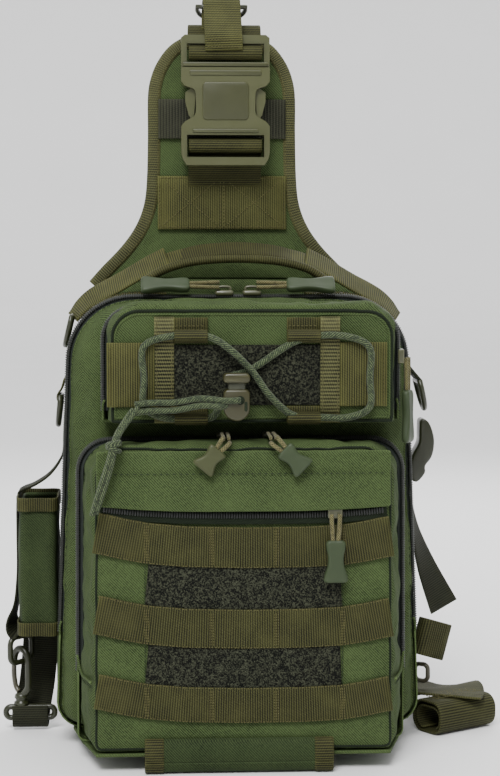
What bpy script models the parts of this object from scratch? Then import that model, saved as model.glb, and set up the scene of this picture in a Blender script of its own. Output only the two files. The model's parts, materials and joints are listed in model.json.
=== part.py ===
"""Tactical sling bag: a zipped main compartment, two zipped front pockets, a padded
shoulder paddle with a side-release buckle, and its webbing, rings and cord lacing.

Sizes are in millimetres and are scaled to metres by MM. The frame is +Z up, the
front of the bag faces -Y, and the origin is at the middle of the flat underside.
"""

import math

import bmesh
import bpy
from mathutils import Vector

MM = 0.001
GAP = 0.35                      # clearance between touching pieces

# ---------------------------------------------------------------- driving sizes
BASE_LOW = 10.0                 # underside of the base panel
BASE_TOP = 12.2
BODY_HIGH = 293.0               # top of the main compartment
BODY_HALF_LOW = 118.0           # half width at the foot and at the top
BODY_HALF_HIGH = 110.0
BODY_CORNER = 42.0              # radius of the two top corners
BODY_FOOT = 16.0                # radius of the two bottom corners
REAR_Y = 60.0                   # back wall of the main compartment
ZIP_REAR_Y = 1.2                # the main zip lies between these two planes
ZIP_FRONT_Y = -4.2
ZIP_END_Z = 75.0                # the main zip stops here on both sides
PANEL_Y = -24.0                 # front panel, which carries both pockets
LOW_ZIP_Y = -38.0               # mouth of the lower pocket
FACE_Y = -76.0                  # face of the lower pocket
FACE_HALF = 93.5
LOW_POCKET_HIGH = 204.0
HIGH_X = 6.5                    # the upper pocket sits a little to the right
HIGH_ZIP_Y = -36.0
HIGH_FACE_Y = -58.0
HIGH_HALF = 92.5
HIGH_LOW = 215.5
HIGH_HIGH = 287.0
WALL = 2.4                      # padded fabric wall
WEB = 1.6                       # webbing thickness
WEB_25 = 25.0                   # webbing widths
WEB_50 = 50.0
PAD_X = -7.8                    # the shoulder paddle stands a little to the left
PAD_FRONT_Y = 59.0
PAD_BACK_Y = 71.0
PAD_HINGE_Z = 300.0
PAD_HIGH = 468.5
BUCKLE_X = -6.0
BUCKLE_FRONT_Y = 41.0
BUCKLE_BACK_Y = 53.0
BUCKLE_HALF = 29.5
ARC_STEPS = 6                   # facets of a quarter turn

# ------------------------------------------------------------------ the scene
for old in list(bpy.data.objects):
    bpy.data.objects.remove(old, do_unlink=True)

bag = bpy.data.collections.new("sling_bag")
bpy.context.scene.collection.children.link(bag)
cutters = bpy.data.collections.new("cutters")
bpy.context.scene.collection.children.link(cutters)

FINISHES = {                    # colour, roughness, metallic
    "fabric": ((0.055, 0.095, 0.045), 0.85, 0.0),
    "mesh_fabric": ((0.040, 0.062, 0.035), 0.90, 0.0),
    "webbing": ((0.092, 0.088, 0.040), 0.80, 0.0),
    "dark_webbing": ((0.035, 0.036, 0.022), 0.80, 0.0),
    "loop_tape": ((0.028, 0.032, 0.022), 0.95, 0.0),
    "zip": ((0.030, 0.034, 0.034), 0.45, 0.1),
    "buckle_plastic": ((0.105, 0.105, 0.052), 0.42, 0.0),
    "hook_plastic": ((0.050, 0.052, 0.030), 0.38, 0.0),
    "rubber": ((0.085, 0.115, 0.075), 0.60, 0.0),
    "cord": ((0.085, 0.110, 0.055), 0.80, 0.0),
}


def finish_for(name, finish):
    """A Principled material of the part's own, in one of the bag's finishes."""
    colour, roughness, metallic = FINISHES[finish]
    material = bpy.data.materials.new(name + "_" + finish)
    material.use_nodes = True
    shader = material.node_tree.nodes["Principled BSDF"]
    shader.inputs["Base Color"].default_value = (*colour, 1.0)
    shader.inputs["Roughness"].default_value = roughness
    shader.inputs["Metallic"].default_value = metallic
    return material


# ------------------------------------------------------------- plane outlines
def arc(centre, radius, start, end, steps=ARC_STEPS):
    """Points of an arc, in degrees, both ends included."""
    points = []
    for i in range(steps + 1):
        angle = math.radians(start + (end - start) * i / steps)
        points.append((centre[0] + radius * math.cos(angle), centre[1] + radius * math.sin(angle)))
    return points


def body_outline(half_low, half_high, low, high, corner, foot, x=0.0, inset=0.0):
    """A bag section that narrows upwards, with round corners, anticlockwise from the front."""
    half_low -= inset
    half_high -= inset
    low += inset
    high -= inset
    corner = max(corner - inset, 2.0)
    foot = max(foot - inset, 1.0)
    points = arc((half_low - foot, low + foot), foot, -90, 0, 3)
    points += arc((half_high - corner, high - corner), corner, 0, 90)
    left = [(-px, pz) for px, pz in reversed(points)]
    return [(px + x, pz) for px, pz in points + left]


def rounded_box(half_x, low, high, radius, steps=3):
    """A rectangle with round corners, centred on x = 0."""
    points = arc((half_x - radius, low + radius), radius, -90, 0, steps)
    points += arc((half_x - radius, high - radius), radius, 0, 90, steps)
    left = [(-px, pz) for px, pz in reversed(points)]
    return points + left


def offset_path(path, distance):
    """An open plane path moved sideways, to the left of its direction of travel."""
    moved = []
    for i, (px, pz) in enumerate(path):
        before = path[max(i - 1, 0)]
        after = path[min(i + 1, len(path) - 1)]
        run = Vector((after[0] - before[0], after[1] - before[1])).normalized()
        moved.append((px - run.y * distance, pz + run.x * distance))
    return moved


# ---------------------------------------------------------------- making parts
def add_object(name, data, finish, collection=bag):
    part = bpy.data.objects.new(name, data)
    collection.objects.link(part)
    if collection is bag:
        data.materials.append(finish_for(name, finish))
    else:
        part.hide_render = True
        part.display_type = "WIRE"
    return part


def mesh_from(name, build, finish, collection=bag):
    """A mesh object whose geometry build(bm) makes in millimetres."""
    bm = bmesh.new()
    build(bm)
    bmesh.ops.scale(bm, vec=(MM, MM, MM), verts=bm.verts)
    mesh = bpy.data.meshes.new(name)
    bm.to_mesh(mesh)
    bm.free()
    return add_object(name, mesh, finish, collection)


def solidify(part, thickness, offset):
    shell = part.modifiers.new("thickness", "SOLIDIFY")
    shell.thickness = thickness * MM
    shell.offset = offset
    shell.use_even_offset = True
    return part


def bevel(part, width, segments=2):
    edge = part.modifiers.new("edges", "BEVEL")
    edge.width = width * MM
    edge.segments = segments
    edge.limit_method = "ANGLE"
    edge.angle_limit = math.radians(40)
    return part


def bridge(bm, first, second, flip):
    count = len(first)
    for i in range(count):
        j = (i + 1) % count
        face = [first[i], first[j], second[j], second[i]]
        bm.faces.new(list(reversed(face)) if flip else face)


def tray(name, rings, wall, finish):
    """A shell lofted through plane outlines, from its open rim to its closed end.

    rings holds (y, outline) pairs; the last outline is closed by a face, and the first
    is repeated a little way in, so that the rim stays square."""
    rim_y, rim = rings[0]
    flip = rings[-1][0] > rim_y
    rings = [rings[0], (rim_y + (1.5 if flip else -1.5), rim)] + rings[1:]

    def build(bm):
        loops = [[bm.verts.new((px, y, pz)) for px, pz in outline] for y, outline in rings]
        for first, second in zip(loops, loops[1:]):
            bridge(bm, first, second, flip)
        end = loops[-1]
        bm.faces.new(list(reversed(end)) if flip else end)

    return solidify(mesh_from(name, build, finish), wall, -1.0)


def plate(name, outlines, front_y, back_y, finish, collection=bag):
    """A flat piece in the X-Z plane; outlines after the first are its holes."""
    curve = bpy.data.curves.new(name, "CURVE")
    curve.dimensions = "2D"
    curve.fill_mode = "BOTH"
    curve.extrude = (back_y - front_y) / 2 * MM
    for outline in outlines:
        spline = curve.splines.new("POLY")
        spline.points.add(len(outline) - 1)
        for point, (px, pz) in zip(spline.points, outline):
            point.co = (px * MM, pz * MM, 0.0, 1.0)
        spline.use_cyclic_u = True
    part = add_object(name, curve, finish, collection)
    part.location = (0.0, (front_y + back_y) / 2 * MM, 0.0)
    part.rotation_euler = (math.pi / 2, 0.0, 0.0)
    return part


def as_mesh(part):
    """The same part as a welded mesh with its transform applied, for Boolean and Bevel."""
    bpy.context.view_layer.update()
    graph = bpy.context.evaluated_depsgraph_get()
    mesh = bpy.data.meshes.new_from_object(part.evaluated_get(graph))
    bm = bmesh.new()
    bm.from_mesh(mesh)
    bmesh.ops.remove_doubles(bm, verts=bm.verts, dist=1e-5)
    bmesh.ops.dissolve_degenerate(bm, edges=bm.edges, dist=1e-6)
    bmesh.ops.recalc_face_normals(bm, faces=bm.faces)
    bmesh.ops.transform(bm, matrix=part.matrix_world, verts=bm.verts)
    bm.to_mesh(mesh)
    bm.free()
    name = part.name
    home = part.users_collection[0]
    bpy.data.objects.remove(part, do_unlink=True)
    solid = bpy.data.objects.new(name, mesh)
    home.objects.link(solid)
    if home is cutters:
        solid.hide_render = True
        solid.display_type = "WIRE"
    return solid


def remade(part):
    """The welded mesh of a curve part, with the curve's own material if it has one."""
    finishes = list(part.data.materials)
    solid = as_mesh(part)
    solid.data.materials.clear()
    for material in finishes:
        solid.data.materials.append(material)
    return solid


def block(name, low, high, finish, edge=0.0, collection=bag):
    """A box between two corners, with bevelled edges."""
    size = [b - a for a, b in zip(low, high)]
    centre = [(a + b) / 2 for a, b in zip(low, high)]

    def build(bm):
        bmesh.ops.create_cube(bm, size=1.0)
        bmesh.ops.scale(bm, vec=size, verts=bm.verts)

    part = mesh_from(name, build, finish, collection)
    part.location = Vector(centre) * MM
    return bevel(part, edge) if edge else part


def cut(part, cutter, operation="DIFFERENCE"):
    change = part.modifiers.new(operation.lower(), "BOOLEAN")
    change.operation = operation
    change.object = cutter
    return part


def tube(name, points, radius, finish, closed=False, resolution=2):
    """A round rod along points; a closed one makes a ring."""
    curve = bpy.data.curves.new(name, "CURVE")
    curve.dimensions = "3D"
    curve.bevel_depth = radius * MM
    curve.bevel_resolution = resolution
    curve.use_fill_caps = not closed
    spline = curve.splines.new("POLY")
    spline.points.add(len(points) - 1)
    for point, place in zip(spline.points, points):
        point.co = (*(Vector(place) * MM), 1.0)
    spline.use_cyclic_u = closed
    return add_object(name, curve, finish)


def band(name, path, width, across, finish, thickness=WEB):
    """Flat webbing along a centre path; across is the direction of its width."""
    sides = across if isinstance(across, list) else [across] * len(path)

    def build(bm):
        rows = []
        for place, side in zip(path, sides):
            half = Vector(side).normalized() * width / 2
            rows.append((bm.verts.new(Vector(place) - half), bm.verts.new(Vector(place) + half)))
        for (a, b), (c, d) in zip(rows, rows[1:]):
            bm.faces.new((a, b, d, c))

    return solidify(mesh_from(name, build, finish), thickness, 0.0)


def smooth_route(points, per_span):
    """A Catmull-Rom curve through points, evenly divided between them."""
    knots = [Vector(p) for p in points]
    knots = [knots[0] * 2 - knots[1]] + knots + [knots[-1] * 2 - knots[-2]]
    route = []
    for a, b, c, d in zip(knots, knots[1:], knots[2:], knots[3:]):
        for i in range(per_span):
            t = i / per_span
            route.append(0.5 * (2 * b + (c - a) * t + (2 * a - 5 * b + 4 * c - d) * t * t
                                + (3 * b - a - 3 * c + d) * t ** 3))
    route.append(knots[-2])
    return route


# ----------------------------------------------------------- main compartment
def body_ring(y, inset, foot_z=BASE_TOP + GAP, shrink=0.0, high_shrink=0.0):
    return (y, body_outline(BODY_HALF_LOW - shrink, BODY_HALF_HIGH - shrink - high_shrink,
                            foot_z, BODY_HIGH, BODY_CORNER, BODY_FOOT, inset=inset))


def main_compartment():
    rear = [body_ring(ZIP_REAR_Y, 0.0), body_ring(REAR_Y - 9, 0.0), body_ring(REAR_Y - 3, 2.6),
            body_ring(REAR_Y, 8.0)]
    tray("rear_shell", rear, WALL, "fabric")

    trapezoid = [(-BODY_HALF_LOW + 13, REAR_Y - 6), (-BODY_HALF_LOW + 10, ZIP_FRONT_Y),
                 (-FACE_HALF - 8, LOW_ZIP_Y), (-FACE_HALF + 2, FACE_Y + 1)]
    right = [(-px, py) for px, py in reversed(trapezoid)]

    def build(bm):
        ring = [bm.verts.new((px, py, BASE_LOW)) for px, py in trapezoid + right]
        bm.faces.new(ring)
        solid = bmesh.ops.extrude_face_region(bm, geom=bm.faces[:])
        top = [v for v in solid["geom"] if isinstance(v, bmesh.types.BMVert)]
        bmesh.ops.translate(bm, vec=(0, 0, BASE_TOP - BASE_LOW), verts=top)
        bmesh.ops.recalc_face_normals(bm, faces=bm.faces)

    mesh_from("base_panel", build, "fabric")

    pad = plate("back_pad", [body_outline(104, 96, 26, 284, 36, 12)], REAR_Y + GAP, REAR_Y + 12,
                "mesh_fabric")
    bevel(as_mesh(pad), 4.0, 2)

    panel = [body_ring(ZIP_FRONT_Y, 0.0), body_ring(PANEL_Y + 4, 2.0, shrink=7, high_shrink=5),
             body_ring(PANEL_Y, 4.5, shrink=7, high_shrink=5)]
    tray("front_panel", panel, WALL, "fabric")


def zip_arch(name, y_front, y_back, outline, end_z, x, depth, finish="zip"):
    """Zip tape and coil that follow an outline over its top, from end to end."""
    path = [(px, pz) for px, pz in outline if pz > end_z]
    foot_x = abs(path[0][0] - x)
    path = [(x + foot_x, end_z)] + path + [(x - foot_x, end_z)]
    inner = offset_path(path, depth)
    part = plate(name, [path + list(reversed(inner))], y_front, y_back, finish)
    return part


def main_zip():
    outline = body_ring(0, 0.3)[1]
    zip_arch("main_zip", ZIP_FRONT_Y + GAP, ZIP_REAR_Y - GAP, outline, ZIP_END_Z, 0.0, 2.4)


# -------------------------------------------------------------- lower pocket
def lower_ring(y, half, inset, low=BASE_TOP + GAP, high=LOW_POCKET_HIGH):
    return (y, body_outline(half, half - 1, low, high, 20, 5, inset=inset))


def lower_pocket():
    rings = [lower_ring(LOW_ZIP_Y - 1.2, 103, 0.0), lower_ring(-60, 98, 0.0),
             lower_ring(FACE_Y + 4, 95, 0.0), lower_ring(FACE_Y + 1, 94.5, 1.2),
             lower_ring(FACE_Y, 94, 3.2)]
    tray("lower_pocket", rings, WALL, "fabric")
    # The pocket's back edge, sewn to the front panel: a frame that the zip closes on.
    outer = body_outline(103.5, 102.5, BASE_TOP + GAP, LOW_POCKET_HIGH + 0.5, 20, 5)
    inner = body_outline(99, 98, BASE_TOP + 5, LOW_POCKET_HIGH - 4, 16, 3)
    plate("lower_zip", [outer, inner], LOW_ZIP_Y - 1.2 + GAP, PANEL_Y - GAP, "zip")


ROWS = ((128.0, 153.3), (77.9, 102.2), (31.3, 53.3))
PANEL_HALF = 60.0               # half width of the loop panels between the rows


# The rows are sewn a little higher towards both sides: (x, rise).
ROW_RISE = ((-89.5, 9.8), (-75.0, 6.2), (-60.0, 3.3), (-36.0, 1.0), (0.0, 0.0), (36.0, 0.2),
            (60.0, 1.2), (75.0, 3.4), (89.5, 6.4))


def row_plate(name, half, low, high, front_y, back_y, finish, collection=bag):
    """A plate between two heights that follows the curve of the rows."""
    run = [(px, rise) for px, rise in ROW_RISE if abs(px) <= half]
    outline = [(px, low + rise) for px, rise in run]
    outline += [(px, high + rise) for px, rise in reversed(run)]
    return remade(plate(name, [outline], front_y, back_y, finish, collection))


def pocket_webbing():
    """Three rows of attachment webbing, with a sewn loop panel between each two."""
    y = FACE_Y - GAP
    half = FACE_HALF - 4
    low, high = ROWS[0]
    field = row_plate("attachment_webbing", half, low, high, y - WEB, y, "webbing")
    for i, (low, high) in enumerate(ROWS[1:]):
        panel = row_plate("panel_%d" % i, PANEL_HALF, high - 0.5, ROWS[i][0] + 0.5, y - 1.2,
                          y - 0.1, "loop_tape", cutters)
        row = row_plate("row_%d" % i, half, low, high, y - WEB, y, "webbing", cutters)
        cut(field, panel, "UNION")
        cut(field, row, "UNION")


FLAP_HINGE_Z = 186.0
FLAP_LOW_Z = 163.0


def storm_flap():
    """The flap over the hidden zip, and that zip's slider and puller."""
    y = FACE_Y - 5.2
    path = [(0, y, FLAP_HINGE_Z - 0.5), (0, y - 0.6, 174.0), (0, y, FLAP_LOW_Z)]
    band("storm_flap", path, 2 * FACE_HALF - 12, (1, 0, 0), "fabric", 1.8)
    block("flap_slider", (FLAP_PULL_X - 4.5, FACE_Y - 3.6, 157.0),
          (FLAP_PULL_X + 4.5, FACE_Y - GAP, 168.0), "zip", 0.8)
    path = [(FLAP_PULL_X, FACE_Y - 5.6, 161.0 - d) for d, _, _ in PULL]
    puller("flap_pull", path, (1, 0, 0), PULL)


FLAP_PULL_X = 56.0


# -------------------------------------------------------------- upper pocket
def upper_ring(y, inset, drop=0.0):
    low = HIGH_LOW
    return (y, body_outline(HIGH_HALF - drop, HIGH_HALF - drop, low, HIGH_HIGH - drop * 0.6, 20, 3,
                            x=HIGH_X, inset=inset))


def upper_pocket():
    rings = [upper_ring(HIGH_ZIP_Y, 0.0), upper_ring(HIGH_FACE_Y + 4, 0.0, 3.0),
             upper_ring(HIGH_FACE_Y + 1, 1.2, 3.0), upper_ring(HIGH_FACE_Y, 3.2, 3.0)]
    tray("upper_pocket", rings, WALL, "fabric")
    outer = body_outline(HIGH_HALF + 0.5, HIGH_HALF + 0.5, HIGH_LOW, HIGH_HIGH + 0.5, 20, 3, x=HIGH_X)
    inner = body_outline(HIGH_HALF - 4, HIGH_HALF - 4, HIGH_LOW + 4, HIGH_HIGH - 4, 16, 2, x=HIGH_X)
    plate("upper_zip", [outer, inner], HIGH_ZIP_Y + GAP, PANEL_Y - GAP, "zip")


LACE_X = 3.0                    # middle of the lacing field
LACE_Y = HIGH_FACE_Y - GAP      # its webbing lies on the pocket face
CORD_R = 2.2


def lacing_webbing():
    """On each side: an upright strip with two cord loops, and a wide side band."""
    block("loop_panel_front", (LACE_X - 38, LACE_Y - 1.2, 228), (LACE_X + 38, LACE_Y, 264), "loop_tape")
    for side, label in ((-1, "left"), (1, "right")):
        strip = block("lacing_webbing_" + label, (LACE_X + side * 51.5 - 6.2, LACE_Y - WEB, 220),
                      (LACE_X + side * 51.5 + 6.2, LACE_Y, 281), "webbing")
        for place, low, high in (("upper", 268.5, 279.5), ("lower", 217.5, 226.0)):
            loop_x = LACE_X + side * 35.0
            tab = block("tab_%s_%s" % (label, place), (loop_x - 10.5, LACE_Y - WEB, low),
                        (loop_x + 10.5, LACE_Y - 0.1, high), "webbing", collection=cutters)
            cut(strip, tab, "UNION")
        inner = LACE_X + side * 56.0
        outer = LACE_X + side * 86.0
        wing = block("wing_" + label, (min(inner, outer), LACE_Y - WEB, 226.5),
                     (max(inner, outer), LACE_Y - 0.05, 265), "webbing", collection=cutters)
        cut(strip, wing, "UNION")


def cord_route():
    """The lacing: both upright runs, the crossing, and back to the lock."""
    front = LACE_Y - WEB - GAP - CORD_R
    over = front - 2 * CORD_R - 0.4
    left_x = LACE_X - 64.0
    right_x = LACE_X + 76.0
    return [(-9.0, front, 245.0), (6.0, front, 250.0), (31.0, front, 266.0), (50.0, front, 270.5),
             (68.0, front, 269.0), (right_x, front, 262.0), (right_x, front, 244.0),
             (right_x, front, 226.0), (66.0, front, 219.5), (50.0, front, 219.5),
             (31.0, front - 0.7, 221.0), (16.0, over, 234.0), (6.0, over, 248.0), (-8.0, over, 262.0),
             (-22.0, front, 270.0), (-42.0, front, 270.5), (left_x, front, 264.0),
             (left_x, front, 244.0), (left_x, front, 227.0), (-50.0, front, 220.0),
             (-36.0, front, 219.0), (-20.0, front, 219.5), (-14.5, front, 226.0)]


def lacing():
    tube("lacing_cord", smooth_route(cord_route(), 3), CORD_R, "cord")


LOCK_X = -4.0
LOCK_Y = HIGH_FACE_Y - 13.8
LOCK_LOW = 219.0
LOCK_HIGH = 238.0


def cord_lock():
    """A sprung cord lock: a turned body with a well, and the button that sinks in it."""
    profile = [(0.0, LOCK_HIGH), (4.6, LOCK_HIGH), (6.0, LOCK_HIGH - 2), (6.2, 228.0),
               (5.6, LOCK_LOW), (0.0, LOCK_LOW)]

    def build(bm):
        ring = [bm.verts.new((px, 0.0, pz)) for px, pz in profile]
        for a, b in zip(ring, ring[1:]):
            bm.edges.new((a, b))

    body = mesh_from("cord_lock", build, "hook_plastic")
    body.location = (LOCK_X * MM, LOCK_Y * MM, 0.0)
    turn = body.modifiers.new("turn", "SCREW")
    turn.steps = 16
    turn.render_steps = 16
    turn.use_merge_vertices = True
    turn.merge_threshold = 1e-5
    half = 3.2
    well = block("lock_well", (LOCK_X - half, LOCK_Y - half, LOCK_HIGH - 7),
                 (LOCK_X + half, LOCK_Y + half, LOCK_HIGH + 2), "hook_plastic", collection=cutters)
    cut(body, well)
    half -= 0.3
    block("lock_button", (LOCK_X - half, LOCK_Y - half, LOCK_HIGH - 1.5),
          (LOCK_X + half, LOCK_Y + half, LOCK_HIGH + 7.5), "hook_plastic", 1.0)


TAIL_ROUTE = [(-66.5, -67.5, 226.0), (-71.0, -71.0, 219.5), (-76.5, -77.5, 211.5),
              (-79.5, -84.6, 204.0), (-82.0, -86.6, 194.0), (-86.5, -86.8, 179.0),
              (-91.5, -86.6, 163.0)]
KNOT = (-79.5, -84.4, 204.0)


def lace_tails():
    """The cord's two free ends, side by side, below the knot that holds them."""
    tails = tube("lace_tails", smooth_route(TAIL_ROUTE, 3), 2.6, "cord")
    material = tails.data.materials[0]
    tails = as_mesh(tails)
    tails.data.materials.clear()
    tails.data.materials.append(material)

    def build(bm):
        bmesh.ops.create_icosphere(bm, subdivisions=2, radius=5.8)

    knot = mesh_from("knot", build, "cord", cutters)
    knot.location = Vector(KNOT) * MM
    cut(tails, knot, "UNION")


# --------------------------------------------------------------- zip fittings
PULL = ((0.0, 2.2, 1.4), (3.0, 2.8, 1.7), (17.0, 2.8, 1.7), (20.0, 4.2, 2.2), (32.0, 6.4, 2.8),
        (38.0, 6.6, 2.8), (42.0, 4.4, 2.2))     # distance, half width, half thickness


def puller(name, path, across, sections, finish="rubber"):
    """A solid along a path whose width lies along across: cord, then a moulded end."""
    points = [Vector(p) for p in path]

    def build(bm):
        loops = []
        for i, (place, (_, half_w, half_t)) in enumerate(zip(points, sections)):
            run = (points[min(i + 1, len(points) - 1)] - points[max(i - 1, 0)]).normalized()
            wide = Vector(across)
            wide = (wide - run * wide.dot(run)).normalized()
            thick = run.cross(wide)
            c = min(half_w, half_t) * 0.6
            ring = [(half_w - c, -half_t), (half_w, -half_t + c), (half_w, half_t - c),
                    (half_w - c, half_t), (c - half_w, half_t), (-half_w, half_t - c),
                    (-half_w, c - half_t), (c - half_w, -half_t)]
            loops.append([bm.verts.new(place + wide * a + thick * b) for a, b in ring])
        for first, second in zip(loops, loops[1:]):
            bridge(bm, first, second, False)
        bm.faces.new(loops[0])
        bm.faces.new(list(reversed(loops[-1])))
        bmesh.ops.recalc_face_normals(bm, faces=bm.faces)

    return mesh_from(name, build, finish)


MAIN_SLIDER_X = 9.0
MAIN_PULL_Z = 300.5
LOWER_PULLS = (("left", -11.0, -0.85), ("right", 18.0, 1.05))    # slider x, lean
LOWER_PULL_Z = 207.5
LOWER_PULL_Y = FACE_Y - 4.0
SIDE_PULL_X = 107.5
SIDE_PULL_Z = 255.0


def main_fittings():
    """Two sliders meet at the middle of the top; their pullers lie out along the zip."""
    top = BODY_HIGH + 0.4
    for side, label in ((-1, "left"), (1, "right")):
        x = side * MAIN_SLIDER_X
        block("main_slider_" + label, (x - 6.0, -6.5, top), (x + 6.0, 3.0, top + 4.2), "zip", 0.8)
        path = [(side * (MAIN_SLIDER_X + 7.0 + d * 1.15), -3.6, MAIN_PULL_Z) for d, _, _ in PULL]
        puller("main_pull_" + label, path, (0, 0.8, 0.6), PULL)


def lower_fittings():
    """Each slider leads a cord over the pocket's front edge, where its puller hangs."""
    top = LOW_POCKET_HIGH + 0.9
    for label, x, lean in LOWER_PULLS:
        lead = [(x, LOW_ZIP_Y - 4.0, top + 1.9), (x, LOW_ZIP_Y - 8.0, top + 2.2),
                (x, LOW_ZIP_Y - 14.0, LOWER_PULL_Z + 0.6), (x, -70.0, LOWER_PULL_Z + 0.8),
                (x, LOWER_PULL_Y + 3.2, LOWER_PULL_Z + 0.3), (x, LOWER_PULL_Y + 1.9, LOWER_PULL_Z)]
        shape = [(0, 4.4, 1.8), (0, 4.4, 1.6), (0, 2.8, 1.4), (0, 2.8, 1.4), (0, 2.8, 1.4),
                 (0, 2.8, 1.2)]
        slider = puller("lower_slider_" + label, lead, (1, 0, 0), shape, "zip")
        base = block("slider_base_" + label, (x - 4.5, LOW_ZIP_Y - 5.5, top),
                     (x + 4.5, LOW_ZIP_Y + 4.5, top + 3.4), "zip", collection=cutters)
        cut(slider, base, "UNION")
        path = []
        for d, _, _ in PULL:
            fall = min(d * 0.34, 14.5) if d < 18 else 5.8 + (d - 17.0) * 0.48
            path.append((x + lean * fall, LOWER_PULL_Y - min(d, 3.0), LOWER_PULL_Z - fall))
        puller("lower_pull_" + label, path, (1, 0, lean), PULL)


def upper_fittings():
    """The upper pocket's slider is parked on its right side, and its puller hangs there."""
    side = HIGH_X + HIGH_HALF + 0.9
    block("upper_slider", (side, HIGH_ZIP_Y - 4.5, SIDE_PULL_Z - 4), (side + 4.2, HIGH_ZIP_Y + 5.5,
          SIDE_PULL_Z + 6), "zip", 0.8)
    path = [(SIDE_PULL_X, HIGH_ZIP_Y + 0.5, SIDE_PULL_Z - d * 1.28) for d, _, _ in PULL]
    puller("upper_pull", path, (1, 0, 0), PULL)


# ------------------------------------------------------------ paddle and buckle
PADDLE_SIDE = ((90.0, 304.0), (81.5, 311.5), (68.5, 325.0), (58.8, 338.5), (53.0, 353.0),
               (50.8, 370.0), (50.0, 400.0), (50.0, 424.0), (48.4, 437.0), (43.8, 449.0),
               (35.0, 460.5), (22.0, PAD_HIGH))
BINDING = 8.0


def paddle():
    """The shoulder paddle: a padded panel, its webbing binding and its webbing patch."""
    right = [(PAD_X + px, pz) for px, pz in PADDLE_SIDE]
    left = [(PAD_X - px, pz) for px, pz in reversed(PADDLE_SIDE)]
    rim = right + left
    inner = offset_path(rim, BINDING)
    core = offset_path(rim, BINDING + GAP)
    inner[0] = (inner[0][0], rim[0][1])
    inner[-1] = (inner[-1][0], rim[-1][1])
    core[0] = (core[0][0], rim[0][1])
    core[-1] = (core[-1][0], rim[-1][1])
    plate("paddle_binding", [rim + list(reversed(inner))], PAD_FRONT_Y + 1.0, PAD_BACK_Y - 1.0,
          "webbing")
    plate("paddle_pad", [core], PAD_FRONT_Y, PAD_BACK_Y, "fabric")
    patch = block("paddle_patch", (PAD_X - 43.5, PAD_FRONT_Y - GAP - WEB, 337.0),
                  (PAD_X + 43.5, PAD_FRONT_Y - GAP, 373.0), "webbing")
    y = PAD_FRONT_Y - GAP - WEB / 2
    route = [(BUCKLE_X, y - 0.1, 368.0), (BUCKLE_X, y - 0.2, 375.0), (BUCKLE_X, 55.0, 382.0),
             (BUCKLE_X, 54.4, 387.0), (BUCKLE_X, 50.0, 388.2), (BUCKLE_X, 44.5, 388.6),
             (BUCKLE_X, 42.4, 391.6), (BUCKLE_X, 44.0, 396.0), (BUCKLE_X, 51.0, 397.0)]
    loop = band("buckle_loop", route, WEB_50 - 0.5, (1, 0, 0), "webbing")
    bag.objects.unlink(loop)
    cutters.objects.link(loop)
    loop.hide_render = True
    loop.display_type = "WIRE"
    cut(patch, loop, "UNION")


def side_outline(points, x=BUCKLE_X):
    """A plane outline from its right-hand half, listed upwards."""
    return [(x + px, pz) for px, pz in points] + [(x - px, pz) for px, pz in reversed(points)]


TOP_RING_BAR = (-8.0, 59.9, 486.3)
LEFT_RINGS = (("d_ring_left_upper", (-108.2, 26.0, 279.4), -0.24),      # bar, lean outwards
              ("d_ring_left_lower", (-116.3, 38.0, 226.0), -0.10))
RIGHT_RING_BAR = (122.8, 35.0, 235.6)
FOLD_ANGLE = 33.0               # the folded strap end lies turned by this much
BUCKLE_BAR = 3.8                # width of the side bars beside the webbing slots
CAVITY_HALF = 27.2
CAVITY_FRONT_Y = 43.6
CAVITY_BACK_Y = 50.4
PRONG_HINGE = (15.5, 438.5)


def buckle():
    """Side-release buckle: socket on the paddle, plug above it, with two sprung prongs."""
    outer = side_outline([(26.0, 379.6), (28.5, 383.5), (BUCKLE_HALF, 388.0), (BUCKLE_HALF, 405.5),
                          (27.0, 408.5), (21.0, 412.0), (19.8, 415.0), (19.8, 427.0), (21.0, 430.0),
                          (27.0, 432.0), (BUCKLE_HALF, 435.0), (BUCKLE_HALF, 444.3)])
    slot = side_outline([(BUCKLE_HALF - BUCKLE_BAR, 385.0), (BUCKLE_HALF - BUCKLE_BAR, 399.6)])
    socket = plate("buckle_socket", [outer, slot], BUCKLE_FRONT_Y, BUCKLE_BACK_Y, "buckle_plastic")
    socket = remade(socket)
    cavity = block("socket_cavity", (BUCKLE_X - CAVITY_HALF, CAVITY_FRONT_Y, 404.0),
                   (BUCKLE_X + CAVITY_HALF, CAVITY_BACK_Y, 446.0), "buckle_plastic",
                   collection=cutters)
    cut(socket, cavity)

    outer = side_outline([(8.0, 410.0), (8.0, 439.0), (CAVITY_HALF - 0.4, 439.0),
                          (CAVITY_HALF - 0.4, 444.7), (BUCKLE_HALF, 444.7), (BUCKLE_HALF, 464.0),
                          (27.0, 466.0)])
    slot = side_outline([(BUCKLE_HALF - BUCKLE_BAR, 448.0), (BUCKLE_HALF - BUCKLE_BAR, 460.2)])
    plate("buckle_plug", [outer, slot], CAVITY_FRONT_Y + 0.4, CAVITY_BACK_Y - 0.4,
          "buckle_plastic")
    for side, label in ((-1, "left"), (1, "right")):
        outline = [(13.0, 438.5), (18.0, 438.5), (20.5, 433.0), (23.0, 430.5), (26.8, 428.0),
                   (26.8, 422.0), (24.5, 413.0), (22.0, 409.0), (20.8, 414.0), (20.0, 425.0),
                   (16.5, 431.0)]
        outline = [(BUCKLE_X + side * px, pz) for px, pz in outline]
        plate("buckle_prong_" + label, [outline], CAVITY_FRONT_Y + 0.8, CAVITY_BACK_Y - 0.8,
              "buckle_plastic")


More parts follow.
